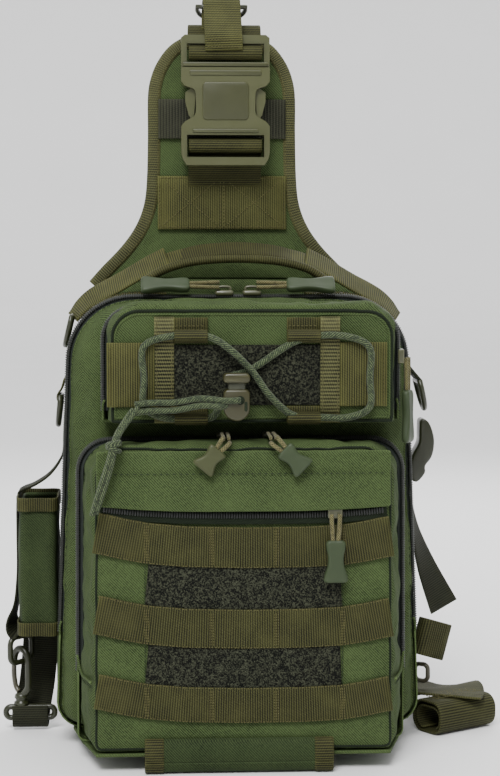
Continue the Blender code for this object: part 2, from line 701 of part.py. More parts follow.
def shoulder_strap():
    """50 mm strap: through the plug, over the paddle, down the back, to its folded end."""
    x = BUCKLE_X
    route = [(53.6, 452.2), (50.0, 450.6), (46.0, 450.2), (42.8, 451.6), (41.8, 454.4),
             (43.2, 457.4), (47.0, 458.4), (51.2, 458.6), (54.4, 461.0), (57.6, 467.0),
             (61.0, 472.0), (66.0, 474.2), (72.0, 473.6), (76.4, 470.0), (77.8, 462.0),
             (77.8, 430.0), (77.8, 312.0)]
    upper = band("shoulder_strap_upper", [(x, py, pz) for py, pz in route], WEB_50, (1, 0, 0),
                 "webbing")
    route = [(40.4, 457.5), (40.2, 463.0), (43.5, 469.5), (51.0, 480.5), (56.5, 489.3),
             (60.2, 491.0), (63.3, 488.4), (62.6, 481.0), (60.6, 474.0), (59.6, 470.4)]
    keeper = band("ring_keeper", [(x - 1.0 - i * 0.25, py, pz) for i, (py, pz) in enumerate(route)],
                  WEB_25, (1, 0, 0), "webbing")
    bag.objects.unlink(keeper)
    cutters.objects.link(keeper)
    keeper.hide_render = True
    keeper.display_type = "WIRE"
    cut(upper, keeper, "UNION")
    d_ring("d_ring_top", TOP_RING_BAR, (1, 0, 0), (0, 0.9, -0.42), 36.0, 20.0, 1.6)

    flat = (0.90, 0.0, 0.44)
    level = (math.cos(math.radians(FOLD_ANGLE)), math.sin(math.radians(FOLD_ANGLE)), 0.0)
    route = [(-4, 78.4, 290), (16, 78.8, 245), (42, 79.5, 180), (66, 82, 120), (82, 88, 78),
             (95, 95, 44), (112, 96, 20), (131, 83, 13), (143, 64, 17), (147.5, 47, 23.0),
             (145.5, 28, 23.6), (142, 18.5, 23.6)]
    across = [flat, flat, flat, (0.9, 0.1, 0.43), (0.8, 0.45, 0.4), (0.6, 0.75, 0.3),
              (0.45, 0.88, 0.12), (0.62, 0.78, 0), (0.8, 0.6, 0), level, level, level]
    band("shoulder_strap_lower", route, WEB_50 - 4, across, "webbing")

    outer = rounded_box(14.5, 0.2, 22.4, 9.0)
    inner = rounded_box(12.7, 2.0, 20.6, 7.2)
    fold = plate("strap_end_loop", [outer, inner], -WEB_50 / 2, WEB_50 / 2, "webbing")
    fold = remade(fold)
    fold.rotation_euler = (0.0, 0.0, math.radians(FOLD_ANGLE - 90))
    fold.location = (148 * MM, 25.5 * MM, 0.0)


def d_ring(name, middle, along, hang, width, depth, radius):
    """A D ring: a straight bar along one direction, and a bow that hangs from it."""
    middle = Vector(middle)
    along = Vector(along).normalized()
    hang = Vector(hang)
    hang = (hang - along * hang.dot(along)).normalized()
    half = width / 2 - radius
    points = [middle - along * half, middle - along * half * 0.4, middle + along * half * 0.4,
              middle + along * half]
    reach = depth - 2 * radius
    for i in range(1, 12):
        angle = math.pi * i / 12
        points.append(middle + along * half * math.cos(angle) + hang * reach * math.sin(angle) ** 0.8)
    return tube(name, points, radius, "hook_plastic", closed=True)


# -------------------------------------------------------------- handle and sides
HANDLE_Y = 17.5
HANDLE_FOOT_Z = 304.0


def carry_handle():
    route = [(-63.5, HANDLE_FOOT_Z), (-57.0, 309.5), (-46.0, 315.0), (-30.0, 318.8), (-10.0, 320.4),
             (10.0, 320.4), (30.0, 318.8), (46.0, 315.0), (56.0, 309.5), (61.5, HANDLE_FOOT_Z)]
    band("carry_handle", [(px, HANDLE_Y, pz) for px, pz in route], WEB_25, (0, 1, 0), "webbing", 3.2)


def corner_tabs():
    """The handle's webbing runs on over both shoulders of the bag."""
    centre = (BODY_HALF_HIGH - BODY_CORNER, BODY_HIGH - BODY_CORNER)
    radius = BODY_CORNER + GAP + WEB / 2 + 0.1
    for side, label in ((-1, "left"), (1, "right")):
        path = [(52.0, centre[1] + radius)] + arc(centre, radius, 90, 42, 5)
        end = path[-1]
        path += [(end[0] + 3.6, end[1] - 1.4)]
        band("corner_tab_" + label, [(side * px, 24.0, pz) for px, pz in path], WEB_25, (0, 1, 0),
             "webbing")


def left_side():
    """Side pouch, side strap with its ring and hook, and two D rings."""
    for name, bar, lean in LEFT_RINGS:
        d_ring(name, bar, (0, 1, 0), (lean, 0, -1), 28.0, 23.0, 1.8)
    pouch = block("side_pouch", (-142.0, 8.0, 70.0), (-118.6, 54.0, 160.0), "fabric")
    hollow = block("pouch_hollow", (-140.2, 9.8, 71.8), (-120.4, 52.2, 166.0), "fabric",
                   collection=cutters)
    cut(pouch, hollow)
    y = 38.0
    route = [(-112.4, y, 234.0), (-112.8, y, 222.0), (-114.0, y, 196.0), (-116.2, y, 185.0),
             (-124.0, y, 174.0), (-134.5, y, 166.8), (-142.0, y, 163.8), (-144.2, y, 160.0),
             (-144.2, y, 110.0), (-147.0, y, 88.0), (-150.0, y, 77.0), (-149.5, y, 71.0),
             (-147.0, y, 67.2)]
    across = [(0, 1, 0)] * 9 + [(0.08, 0.99, 0), (0.25, 0.97, 0), (0.45, 0.89, 0), (0.64, 0.77, 0)]
    band("side_strap_left", route, 20.0, across, "dark_webbing")
    oblong_ring("strap_ring_left", (-144.5, y), RING_ANGLE, 24.4, RING_LOW, 65.6, RING_R)
    snap_hook()
    route = [(-138.5, 34.0, 13.0), (-138.5, 33.2, 8.0), (-138.5, 35.0, 4.0), (-138.5, 38.5, 2.6),
             (-138.0, 42.5, 5.0), (-137.5, 44.5, 12.0), (-134.5, 50.0, 30.0), (-132.5, 52.5, 50.0),
             (-131.0, 52.5, 69.3)]
    band("hook_webbing", route, WEB_25 - 1, (1, 0, 0), "dark_webbing")


RING_ANGLE = 50.0
RING_LOW = 44.5
RING_R = 1.9
HOOK_R = 2.3
HOOK_X = -144.5
HOOK_Y = 38.0


def oblong_ring(name, centre, angle, width, low, high, radius, finish="hook_plastic"):
    """An upright oblong ring, turned about the vertical by angle."""
    way = Vector((math.cos(math.radians(angle)), math.sin(math.radians(angle)), 0))
    outline = rounded_box(width / 2 - radius, low + radius, high - radius, 5.0)
    middle = Vector((centre[0], centre[1], 0))
    points = [middle + way * px + Vector((0, 0, pz)) for px, pz in outline]
    return tube(name, points, radius, finish, closed=True)


def snap_hook():
    """A swivel snap hook: eye, hook and its sprung gate."""
    way = Vector((math.cos(math.radians(RING_ANGLE - 90)), math.sin(math.radians(RING_ANGLE - 90)), 0))
    middle = Vector((HOOK_X, HOOK_Y, 0))

    def at(side, z):
        return middle + way * side + Vector((0, 0, z))

    bow = [at(0, 22.5), at(2.2, 24.5), at(5.8, 28.0), at(6.6, 33.0), at(6.6, 46.0), at(5.6, 51.0),
           at(3.2, 54.0), at(0.0, 55.2), at(-3.2, 54.0), at(-5.6, 51.0), at(-6.6, 47.0)]
    hook = remade(tube("snap_hook", bow, HOOK_R, "hook_plastic"))

    def collar(bm):
        bmesh.ops.create_cone(bm, cap_ends=True, segments=12, radius1=4.6, radius2=3.8, depth=7.0)

    base = mesh_from("hook_collar", collar, "hook_plastic", cutters)
    base.location = (HOOK_X * MM, HOOK_Y * MM, 21.4 * MM)
    cut(hook, base, "UNION")
    gate = [at(-6.6, 44.2), at(-6.4, 36.0), at(-4.8, 29.0), at(-4.4, 27.6)]
    tube("hook_gate", gate, 1.7, "hook_plastic")
    outline = rounded_box(16.4, 8.2, 15.4, 3.5)
    points = [Vector((HOOK_X + 6 + px, HOOK_Y, pz)) for px, pz in outline]
    tube("hook_eye", points, 1.9, "hook_plastic", closed=True)


def right_side():
    """Ring tab with its ring and hook, loose strap end, keeper loop and swivel."""
    centre = (BODY_HALF_HIGH - BODY_CORNER, BODY_HIGH - BODY_CORNER)
    route = arc(centre, BODY_CORNER + 2.0, 28, 4, 4) + [(113.6, 248.0), (120.4, 239.4)]
    band("ring_tab_right", [(px, 35.0, pz) for px, pz in route], WEB_25, (0, 1, 0),
         "dark_webbing", 2.4)
    d_ring("d_ring_right", RIGHT_RING_BAR, (0, 1, 0), (0.24, 0, -1), 28.0, 23.0, 1.8)
    outline = [(124.2, 210.0), (129.5, 208.0), (133.0, 199.0), (133.3, 191.0), (131.5, 184.0),
               (127.5, 178.5), (127.3, 173.5), (121.6, 167.5), (116.6, 172.0), (118.6, 185.0),
               (123.0, 194.0), (123.4, 202.0)]
    hook = plate("side_hook_right", [outline], 26.0, 44.0, "hook_plastic")
    bevel(remade(hook), 1.2, 2)
    route = [(119.8, 45.0, 152.0), (123.5, 45.0, 132.0), (131.0, 44.0, 108.0), (143.0, 42.0, 80.0)]
    across = [(0.15, 0.99, 0.0), (0.3, 0.95, 0.0), (0.6, 0.8, 0.0), (0.87, 0.5, 0.0)]
    band("strap_tail_right", route, WEB_25, across, "dark_webbing")

    outer = rounded_box(12.0, -6.0, 6.0, 5.0)
    inner = rounded_box(10.4, -4.4, 4.4, 3.6)
    loop = plate("keeper_loop_right", [outer, inner], -WEB_25 / 2, WEB_25 / 2, "dark_webbing")
    loop = remade(loop)
    loop.rotation_euler = (math.radians(90), math.radians(18), math.radians(28))
    loop.location = (134.0 * MM, 40.0 * MM, 58.5 * MM)
    oblong_ring("swivel_ring_right", (127.5, 40.0), -35.0, 13.0, 28.0, 42.5, 1.6)


def bottom_sleeve():
    """A sleeve under the base for a rolled mat; its underside is what the bag rests on."""
    route = [(-79.0, 8.4), (-80.6, 6.2), (-80.0, 3.2), (-76.0, 1.2), (-68.0, 1.0), (44.0, 1.0),
             (50.0, 1.8), (53.0, 4.6), (53.8, 8.6)]
    band("bottom_sleeve", [(-3.0, py, pz) for py, pz in route], 116.0, (1, 0, 0), "fabric", 2.0)


# --------------------------------------------------------------------- joints
def hang(name, place, nodes, parent=None):
    """An empty on a joint's axis, with the pieces that turn or slide about it."""
    pivot = bpy.data.objects.new(name + "_pivot", None)
    bag.objects.link(pivot)
    place = Vector(place)
    pivot["place"] = place
    pivot.parent = parent
    pivot.location = (place - (Vector(parent["place"]) if parent else Vector())) * MM
    for node in nodes:
        part = bag.objects[node]
        part.parent = pivot
        part.location -= place * MM
    return pivot


def joints():
    """The bag's moving groups, each under an empty on its own joint axis."""
    crease = (0.0, FACE_Y, BASE_TOP)
    front = hang("main_front", crease, ["front_panel", "upper_zip", "lower_zip"])
    lower = hang("lower_pocket", crease, ["lower_pocket", "attachment_webbing"], front)
    upper = hang("upper_pocket", (HIGH_X, HIGH_FACE_Y, HIGH_LOW),
                 ["upper_pocket", "loop_panel_front", "lacing_webbing_left",
                  "lacing_webbing_right", "lacing_cord", "cord_lock"], front)
    hang("storm_flap", (0.0, FACE_Y - 5.2, FLAP_HINGE_Z - 0.5), ["storm_flap"], lower)
    hang("lock_button", (LOCK_X, LOCK_Y, LOCK_HIGH), ["lock_button"], upper)
    hang("lace_tails", TAIL_ROUTE[1], ["lace_tails"], upper)
    for side, label in ((-1, "left"), (1, "right")):
        place = (side * MAIN_SLIDER_X, 0.0, BODY_HIGH)
        slider = hang("main_slider_" + label, place, ["main_slider_" + label], front)
        place = (side * (MAIN_SLIDER_X + 7.0), -3.6, MAIN_PULL_Z)
        hang("main_pull_" + label, place, ["main_pull_" + label], slider)
    for label, x, _ in LOWER_PULLS:
        place = (x, LOW_ZIP_Y, LOW_POCKET_HIGH)
        slider = hang("lower_slider_" + label, place, ["lower_slider_" + label], lower)
        place = (x, LOWER_PULL_Y, LOWER_PULL_Z)
        hang("lower_pull_" + label, place, ["lower_pull_" + label], slider)
    slider = hang("flap_slider", (FLAP_PULL_X, FACE_Y, FLAP_LOW_Z), ["flap_slider"], lower)
    hang("flap_pull", (FLAP_PULL_X, FACE_Y - 5.6, 161.0), ["flap_pull"], slider)
    slider = hang("upper_slider", (SIDE_PULL_X, HIGH_ZIP_Y, SIDE_PULL_Z), ["upper_slider"], front)
    hang("upper_pull", (SIDE_PULL_X, HIGH_ZIP_Y + 0.5, SIDE_PULL_Z), ["upper_pull"], slider)

    hang("carry_handle", (0.0, HANDLE_Y, HANDLE_FOOT_Z), ["carry_handle"])
    pad = hang("paddle", (PAD_X, (PAD_FRONT_Y + PAD_BACK_Y) / 2 + 1, PAD_HINGE_Z),
               ["paddle_pad", "paddle_binding", "paddle_patch", "buckle_socket"])
    plug = hang("buckle_plug", (BUCKLE_X, 47.0, 444.7), ["buckle_plug", "shoulder_strap_upper"], pad)
    for side, label in ((-1, "left"), (1, "right")):
        place = (BUCKLE_X + side * PRONG_HINGE[0], 47.0, PRONG_HINGE[1])
        hang("buckle_prong_" + label, place, ["buckle_prong_" + label], plug)
    hang("d_ring_top", TOP_RING_BAR, ["d_ring_top"], plug)

    hang("d_ring_left_upper", LEFT_RINGS[0][1], ["d_ring_left_upper"])
    hang("d_ring_left_lower", LEFT_RINGS[1][1], ["d_ring_left_lower"])
    hang("strap_ring_left", (HOOK_X, HOOK_Y, 63.7), ["strap_ring_left"])
    eye = hang("hook_eye", (HOOK_X + 6.0, HOOK_Y, 8.2), ["hook_eye"])
    hook = hang("snap_hook", (HOOK_X, HOOK_Y, 17.0), ["snap_hook"], eye)
    hang("hook_gate", (HOOK_X - 3.4, HOOK_Y + 2.8, 27.6), ["hook_gate"], hook)
    ring = hang("d_ring_right", RIGHT_RING_BAR, ["d_ring_right"])
    hang("side_hook_right", (127.0, 35.0, 213.0), ["side_hook_right"], ring)
    hang("strap_tail_right", (119.8, 45.0, 152.0), ["strap_tail_right"])
    hang("swivel_ring_right", (127.5, 40.0, 41.0), ["swivel_ring_right"])


# ------------------------------------------------------------------- build it
main_compartment()
main_zip()
main_fittings()
lower_pocket()
pocket_webbing()
storm_flap()
lower_fittings()
upper_pocket()
lacing_webbing()
lacing()
cord_lock()
lace_tails()
upper_fittings()
paddle()
buckle()
shoulder_strap()
carry_handle()
corner_tabs()
left_side()
right_side()
bottom_sleeve()
joints()
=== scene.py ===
"""Visual model of the sling bag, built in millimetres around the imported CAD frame."""
import json
import math

import bmesh
import bpy
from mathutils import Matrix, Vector, noise
from mathutils.bvhtree import BVHTree

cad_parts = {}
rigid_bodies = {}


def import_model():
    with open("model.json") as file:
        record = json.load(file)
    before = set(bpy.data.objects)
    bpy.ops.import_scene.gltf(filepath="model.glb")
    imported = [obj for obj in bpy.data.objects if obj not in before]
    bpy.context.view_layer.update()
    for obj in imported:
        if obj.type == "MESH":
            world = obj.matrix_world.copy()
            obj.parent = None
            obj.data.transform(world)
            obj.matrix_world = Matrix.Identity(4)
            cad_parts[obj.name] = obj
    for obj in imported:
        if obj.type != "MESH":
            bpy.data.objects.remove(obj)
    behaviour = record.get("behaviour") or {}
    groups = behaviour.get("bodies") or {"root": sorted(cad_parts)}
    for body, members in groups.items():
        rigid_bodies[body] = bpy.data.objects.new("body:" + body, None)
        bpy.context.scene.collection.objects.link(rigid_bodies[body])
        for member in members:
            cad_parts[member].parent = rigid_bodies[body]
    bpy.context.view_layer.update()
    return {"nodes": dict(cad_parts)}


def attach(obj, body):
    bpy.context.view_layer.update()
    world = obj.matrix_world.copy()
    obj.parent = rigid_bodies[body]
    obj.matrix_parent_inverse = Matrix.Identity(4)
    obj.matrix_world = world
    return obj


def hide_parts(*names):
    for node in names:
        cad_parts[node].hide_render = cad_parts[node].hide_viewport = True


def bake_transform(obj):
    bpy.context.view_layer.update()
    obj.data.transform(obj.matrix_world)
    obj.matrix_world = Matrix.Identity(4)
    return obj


for start_object in list(bpy.data.objects):
    bpy.data.objects.remove(start_object)
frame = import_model()
nodes = frame["nodes"]
scene = bpy.context.scene
MM = 0.001
TAU = 2 * math.pi


# ------------------------------------------------------------------ camera, floor, light
def aim(yaw, pitch):
    """A direction from its angles, in degrees: yaw towards +X, pitch upwards."""
    yaw = math.radians(yaw)
    pitch = math.radians(pitch)
    return Vector((math.sin(yaw) * math.cos(pitch), math.cos(yaw) * math.cos(pitch), math.sin(pitch)))


camera = bpy.data.objects.new("camera", bpy.data.cameras.new("camera"))
scene.collection.objects.link(camera)
camera.location = (-0.061, -1.233, 0.323)
camera.rotation_mode = "QUATERNION"
camera.rotation_quaternion = aim(3.2, -4.15).to_track_quat("-Z", "Y")
camera.data.sensor_width = 36.0
camera.data.lens = 88.14
scene.camera = camera

world = bpy.data.worlds.new("studio")
scene.world = world
world.use_nodes = True
backdrop = world.node_tree.nodes["Background"]
backdrop.inputs["Color"].default_value = (1.0, 1.0, 1.0, 1.0)
ray = world.node_tree.nodes.new("ShaderNodeLightPath")
level = world.node_tree.nodes.new("ShaderNodeMapRange")
level.inputs["To Min"].default_value = 0.50
level.inputs["To Max"].default_value = 3.4
world.node_tree.links.new(ray.outputs["Is Camera Ray"], level.inputs["Value"])
world.node_tree.links.new(level.outputs["Result"], backdrop.inputs["Strength"])


def area_light(name, place, target, size, power):
    light = bpy.data.objects.new(name, bpy.data.lights.new(name, "AREA"))
    scene.collection.objects.link(light)
    light.location = place
    light.data.shape = "SQUARE"
    light.data.size = size
    light.data.energy = power
    light.rotation_mode = "QUATERNION"
    light.rotation_quaternion = (Vector(target) - Vector(place)).to_track_quat("-Z", "Y")


area_light("key", (-0.35, -1.25, 1.50), (0.0, 0.0, 0.2), 0.8, 15.0)
area_light("top", (0.1, 0.15, 1.7), (0.0, 0.0, 0.1), 1.2, 10.0)
area_light("rim", (0.3, 1.3, 1.0), (0.0, 0.0, 0.25), 0.8, 10.0)
sun = bpy.data.objects.new("sun", bpy.data.lights.new("sun", "SUN"))
scene.collection.objects.link(sun)
sun.data.energy = 2.5
sun.data.angle = math.radians(25)
sun.rotation_mode = "QUATERNION"
sun.rotation_quaternion = Vector((0.16, 0.62, -0.77)).to_track_quat("-Z", "Y")

floor_profile = [(-60.0, 0.0), (6.0, 0.0)]
floor_profile += [(6.0 + 3.0 * math.sin(0.13 * i), 3.0 - 3.0 * math.cos(0.13 * i)) for i in range(1, 12)]
floor_profile.append((9.0, 30.0))
floor_mesh = bpy.data.meshes.new("floor")
floor_mesh.from_pydata([(x, y, z) for y, z in floor_profile for x in (-60, 60)], [],
                       [(2 * i, 2 * i + 1, 2 * i + 3, 2 * i + 2) for i in range(len(floor_profile) - 1)])
floor_mesh.polygons.foreach_set("use_smooth", [True] * len(floor_mesh.polygons))
floor = bpy.data.objects.new("floor", floor_mesh)
scene.collection.objects.link(floor)


# ------------------------------------------------------------------ material graphs
class Graph:
    """A Principled material whose colour, roughness and bump are built from nodes."""

    def __init__(self, name, roughness, sheen=0.0, specular=0.5):
        self.material = bpy.data.materials.new(name)
        self.material.use_nodes = True
        self.tree = self.material.node_tree
        self.shader = self.tree.nodes["Principled BSDF"]
        self.shader.inputs["Roughness"].default_value = roughness
        self.shader.inputs["Sheen Weight"].default_value = sheen
        self.shader.inputs["Specular IOR Level"].default_value = specular

    def node(self, kind, inputs=(), **settings):
        made = self.tree.nodes.new("ShaderNode" + kind)
        for key, value in settings.items():
            setattr(made, key, value)
        for key, value in inputs:
            if isinstance(value, bpy.types.NodeSocket):
                self.tree.links.new(value, made.inputs[key])
            else:
                made.inputs[key].default_value = value
        return made

    def math(self, operation, a, b=0.0, clamp=False):
        made = self.node("Math", [(0, a), (1, b)], operation=operation, use_clamp=clamp)
        return made.outputs[0]

    def uv(self):
        return self.node("UVMap").outputs[0]

    def place(self):
        return self.node("TexCoord").outputs["Object"]

    def wave(self, vector, x, y, shift=0.0):
        """A sine from 0 to 1 with x and y periods per metre."""
        run = self.node("VectorMath", [(0, vector), (1, (x * TAU, y * TAU, 0.0))],
                        operation="DOT_PRODUCT").outputs["Value"]
        wave = self.math("SINE", self.math("ADD", run, shift) if shift else run)
        return self.scaled(wave, 0.5, 0.5)

    def scaled(self, value, factor, offset):
        made = self.node("Math", [(0, value), (1, factor), (2, offset)], operation="MULTIPLY_ADD")
        return made.outputs[0]

    def noise(self, vector, scale, detail=2.0, roughness=0.5):
        made = self.node("TexNoise", [("Vector", vector), ("Scale", scale), ("Detail", detail),
                                      ("Roughness", roughness)])
        return made.outputs["Fac"]

    def ramp(self, value, low, high):
        made = self.node("MapRange", [("Value", value), ("From Min", low), ("From Max", high)],
                         interpolation_type="SMOOTHSTEP")
        return made.outputs["Result"]

    def mix(self, factor, a, b, blend="MIX"):
        made = self.node("Mix", data_type="RGBA", blend_type=blend)
        sockets = {"Factor": made.inputs[0], "A": made.inputs[6], "B": made.inputs[7]}
        for key, value in (("Factor", factor), ("A", a), ("B", b)):
            if isinstance(value, bpy.types.NodeSocket):
                self.tree.links.new(value, sockets[key])
            elif key == "Factor":
                sockets[key].default_value = value
            else:
                sockets[key].default_value = (*value, 1.0)
        return made.outputs[2]

    def finish(self, colour, height=None, distance=0.0002, strength=0.6, rough=None):
        self.tree.links.new(colour, self.shader.inputs["Base Color"])
        if rough is not None:
            self.tree.links.new(rough, self.shader.inputs["Roughness"])
        if height is not None:
            bump = self.node("Bump", [("Height", height), ("Distance", distance),
                                      ("Strength", strength)])
            self.tree.links.new(bump.outputs["Normal"], self.shader.inputs["Normal"])
        return self.material

    def wear(self, amount=0.6):
        """Light on worn edges, from the surface's own pointiness."""
        point = self.node("NewGeometry").outputs["Pointiness"]
        return self.math("MULTIPLY", self.ramp(point, 0.52, 0.62), amount)


def woven(name, dark, light, period=1.25, roughness=0.82):
    """Twill: fine diagonal ribs crossed by threads, with blotchy dye and rubbed edges."""
    g = Graph(name, roughness, specular=0.14)
    uv = g.uv()
    place = g.place()
    per_metre = 1000 / period
    twill = g.wave(uv, per_metre * 0.72, per_metre * 0.70)
    thread = g.wave(uv, per_metre * 0.9, -per_metre * 0.9)
    weave = g.math("ADD", g.math("MULTIPLY", twill, 0.68), g.math("MULTIPLY", thread, 0.32))
    fine = g.noise(place, 850.0, 3.0, 0.6)
    mixed = g.math("ADD", g.math("MULTIPLY", weave, 0.55), g.math("MULTIPLY", fine, 0.62))
    base = g.mix(g.ramp(mixed, 0.30, 0.86), dark, light)
    dye = g.ramp(g.noise(place, 26.0, 4.0, 0.6), 0.3, 0.72)
    base = g.mix(g.math("MULTIPLY", dye, 0.22), base, tuple(c * 1.4 for c in light))
    base = g.mix(g.wear(0.45), base, tuple(min(c * 1.9 + 0.005, 1.0) for c in light))
    height = g.math("ADD", weave, g.math("MULTIPLY", fine, 0.5))
    rough = g.scaled(fine, 0.2, roughness - 0.1)
    return g.finish(base, height, 0.00022, 0.55, rough)


def ribbed(name, dark, light, period=1.5, cross=1.05, roughness=0.75):
    """Webbing: ribs across its width, each broken into threads. U runs along the webbing."""
    g = Graph(name, roughness, specular=0.18)
    uv = g.uv()
    place = g.place()
    rib = g.wave(uv, 1000 / period, 0.0)
    thread = g.wave(uv, 500 / period, 1000 / cross)
    weave = g.math("ADD", g.math("MULTIPLY", rib, 0.66), g.math("MULTIPLY", thread, 0.34))
    fine = g.noise(place, 1100.0, 3.0)
    mixed = g.math("ADD", g.math("MULTIPLY", weave, 0.78), g.math("MULTIPLY", fine, 0.36))
    base = g.mix(g.ramp(mixed, 0.28, 0.90), dark, light)
    dye = g.ramp(g.noise(place, 55.0, 4.0, 0.6), 0.35, 0.75)
    base = g.mix(g.math("MULTIPLY", dye, 0.22), base, tuple(c * 1.45 for c in light))
    base = g.mix(g.wear(0.5), base, tuple(min(c * 1.9, 1.0) for c in light))
    height = g.math("ADD", weave, g.math("MULTIPLY", fine, 0.35))
    return g.finish(base, height, 0.0003, 0.7, g.scaled(fine, 0.2, roughness - 0.1))


def pile(name, dark, light):
    """Loop pile: a field of fine curls."""
    g = Graph(name, 0.95, specular=0.2)
    place = g.place()
    curl = g.noise(place, 1050.0, 2.0, 0.6)
    tuft = g.noise(place, 420.0, 3.0, 0.6)
    mixed = g.math("ADD", g.math("MULTIPLY", curl, 0.65), g.math("MULTIPLY", tuft, 0.35))
    base = g.mix(g.ramp(mixed, 0.42, 0.64), dark, light)
    return g.finish(base, mixed, 0.0012, 0.9)


def moulded(name, colour, roughness, grain=900.0, worn=0.5, specular=0.5):
    """Moulded plastic or rubber: fine grain, slight mottling, edges rubbed lighter."""
    g = Graph(name, roughness, specular=specular)
    place = g.place()
    grainy = g.noise(place, grain, 2.0)
    mottle = g.ramp(g.noise(place, 60.0, 4.0), 0.3, 0.7)
    base = g.mix(g.math("MULTIPLY", mottle, 0.35), colour, tuple(c * 1.4 for c in colour))
    base = g.mix(g.wear(worn), base, tuple(min(c * 2.2 + 0.01, 1.0) for c in colour))
    rough = g.scaled(g.noise(place, 140.0, 3.0), 0.22, roughness - 0.11)
    return g.finish(base, grainy, 0.00006, 0.35, rough)


def braided(name, dark, light, fleck, radius, strands=7.0, pitch=2.6):
    """Braided cord: two sets of strands that cross, with light flecks. V runs round the cord."""
    g = Graph(name, 0.78, sheen=0.1, specular=0.35)
    uv = g.uv()
    place = g.place()
    round_metres = strands / (TAU * radius * MM)
    one = g.wave(uv, 1000 / pitch, round_metres)
    two = g.wave(uv, 1000 / pitch, -round_metres)
    weave = g.math("MAXIMUM", one, two)
    base = g.mix(g.ramp(weave, 0.45, 0.98), dark, light)
    flecks = g.math("MULTIPLY", g.ramp(g.wave(uv, 1000 / pitch * 1.0, round_metres, 1.6), 0.80, 0.97),
                    g.ramp(g.noise(place, 500.0, 1.0), 0.35, 0.55))
    base = g.mix(g.math("MULTIPLY", flecks, 0.85), base, fleck)
    return g.finish(base, weave, 0.00035, 0.8)


def spacer(name, dark, light):
    """Padded mesh: a net of small round holes over foam."""
    g = Graph(name, 0.9, sheen=0.1, specular=0.25)
    uv = g.uv()
    cell = g.node("TexVoronoi", [("Vector", uv), ("Scale", 420.0), ("Randomness", 0.25)])
    net = g.ramp(cell.outputs["Distance"], 0.22, 0.5)
    base = g.mix(net, dark, light)
    base = g.mix(g.math("MULTIPLY", g.noise(g.place(), 30.0, 3.0), 0.3), base, light)
    return g.finish(base, net, 0.0005, 0.8)


GREEN_DARK = (0.004, 0.009, 0.0028)
GREEN_LIGHT = (0.066, 0.097, 0.034)
fabric = woven("fabric_weave", GREEN_DARK, GREEN_LIGHT)
# Painted shade: a darker copy of the green fabric, for the side pouch and the sleeve under the base, which stand in
# shade.
painted_shade_fabric = woven("painted_shade_weave", (0.003, 0.006, 0.002), (0.038, 0.057, 0.021))
# Painted shade: a near-black cloth put where there is only shade: seam grooves, the zip under the storm flap and
# the cord lock's holes.
painted_shade_dark = woven("painted_shade_dark_weave", (0.003, 0.005, 0.003), (0.012, 0.018, 0.009))
webbing = ribbed("webbing_ribs", (0.0028, 0.0032, 0.0010), (0.056, 0.057, 0.018))
light_webbing = ribbed("webbing_bright", (0.0045, 0.005, 0.0014), (0.082, 0.084, 0.026))
strip_webbing = ribbed("webbing_coarse", (0.003, 0.003, 0.001), (0.088, 0.090, 0.036), 2.2, 1.4)
dark_webbing = ribbed("dark_webbing_ribs", (0.003, 0.0034, 0.0018), (0.024, 0.026, 0.013))
strap_webbing = ribbed("strap_ribs", (0.004, 0.0043, 0.0014), (0.056, 0.057, 0.020), 1.7, 1.2)
loop_tape = pile("loop_pile", (0.0016, 0.002, 0.0012), (0.044, 0.048, 0.030))
zip_tape = woven("zip_tape_weave", (0.006, 0.0075, 0.006), (0.030, 0.036, 0.032), 0.9)
zip_coil = moulded("zip_coil", (0.016, 0.018, 0.015), 0.5)
# Painted shade: a darker copy of the coil colour, for the coil in the storm flap's shadow.
painted_shade_coil = moulded("zip_coil_painted_shade", (0.010, 0.011, 0.010), 0.42)
slider_metal = moulded("slider_paint", (0.050, 0.052, 0.026), 0.35, worn=0.8)
buckle_plastic = moulded("buckle_acetal", (0.034, 0.037, 0.011), 0.40)
hook_plastic = moulded("hook_acetal", (0.016, 0.018, 0.007), 0.34)
snap_metal = moulded("snap_metal", (0.050, 0.046, 0.030), 0.30, worn=0.9)
rubber = moulded("pull_rubber", (0.030, 0.044, 0.019), 0.50, 1400.0, 0.4, 0.3)
rubber_olive = moulded("pull_rubber_olive", (0.042, 0.048, 0.018), 0.50, 1400.0, 0.4, 0.3)
lace_cord = braided("lace_braid", (0.004, 0.007, 0.003), (0.030, 0.047, 0.018), (0.19, 0.24, 0.11), 2.2, 8.0,
                    1.9)
pull_cord = braided("pull_braid", (0.014, 0.013, 0.004), (0.115, 0.105, 0.038), (0.26, 0.24, 0.10), 1.1, 5.0,
                    1.6)
thread_green = woven("thread_green", (0.003, 0.006, 0.002), (0.016, 0.026, 0.011), 0.4)
thread_olive = woven("thread_olive", (0.012, 0.011, 0.004), (0.072, 0.068, 0.028), 0.4)
back_mesh = spacer("back_mesh", (0.003, 0.005, 0.003), (0.020, 0.032, 0.015))

floor_graph = Graph("floor_pale", 0.9, specular=0.2)
floor_tone = floor_graph.mix(floor_graph.noise(floor_graph.place(), 3.0), (0.86, 0.86, 0.86),
                             (0.90, 0.90, 0.90))
floor.data.materials.append(floor_graph.finish(floor_tone))


# ------------------------------------------------------------------ making pieces
def finish_piece(piece, body, material, replaces=()):
    """Material, slot and body of a finished piece, and the CAD nodes that it stands for."""
    piece.data.materials.clear()
    piece.data.materials.append(material)
    if body:
        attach(piece, body)
    if replaces:
        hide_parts(*([replaces] if isinstance(replaces, str) else replaces))
    return piece


def make(name, verts, faces, uvs=None, smooth=True):
    """A mesh object from points in millimetres; uvs holds one pair in metres for each corner."""
    mesh = bpy.data.meshes.new(name)
    mesh.from_pydata([tuple(c * MM for c in v) for v in verts], [], faces)
    mesh.polygons.foreach_set("use_smooth", [smooth] * len(mesh.polygons))
    if uvs:
        layer = mesh.uv_layers.new(name="UVMap")
        layer.data.foreach_set("uv", [c for pair in uvs for c in pair])
    piece = bpy.data.objects.new(name, mesh)
    scene.collection.objects.link(piece)
    return piece


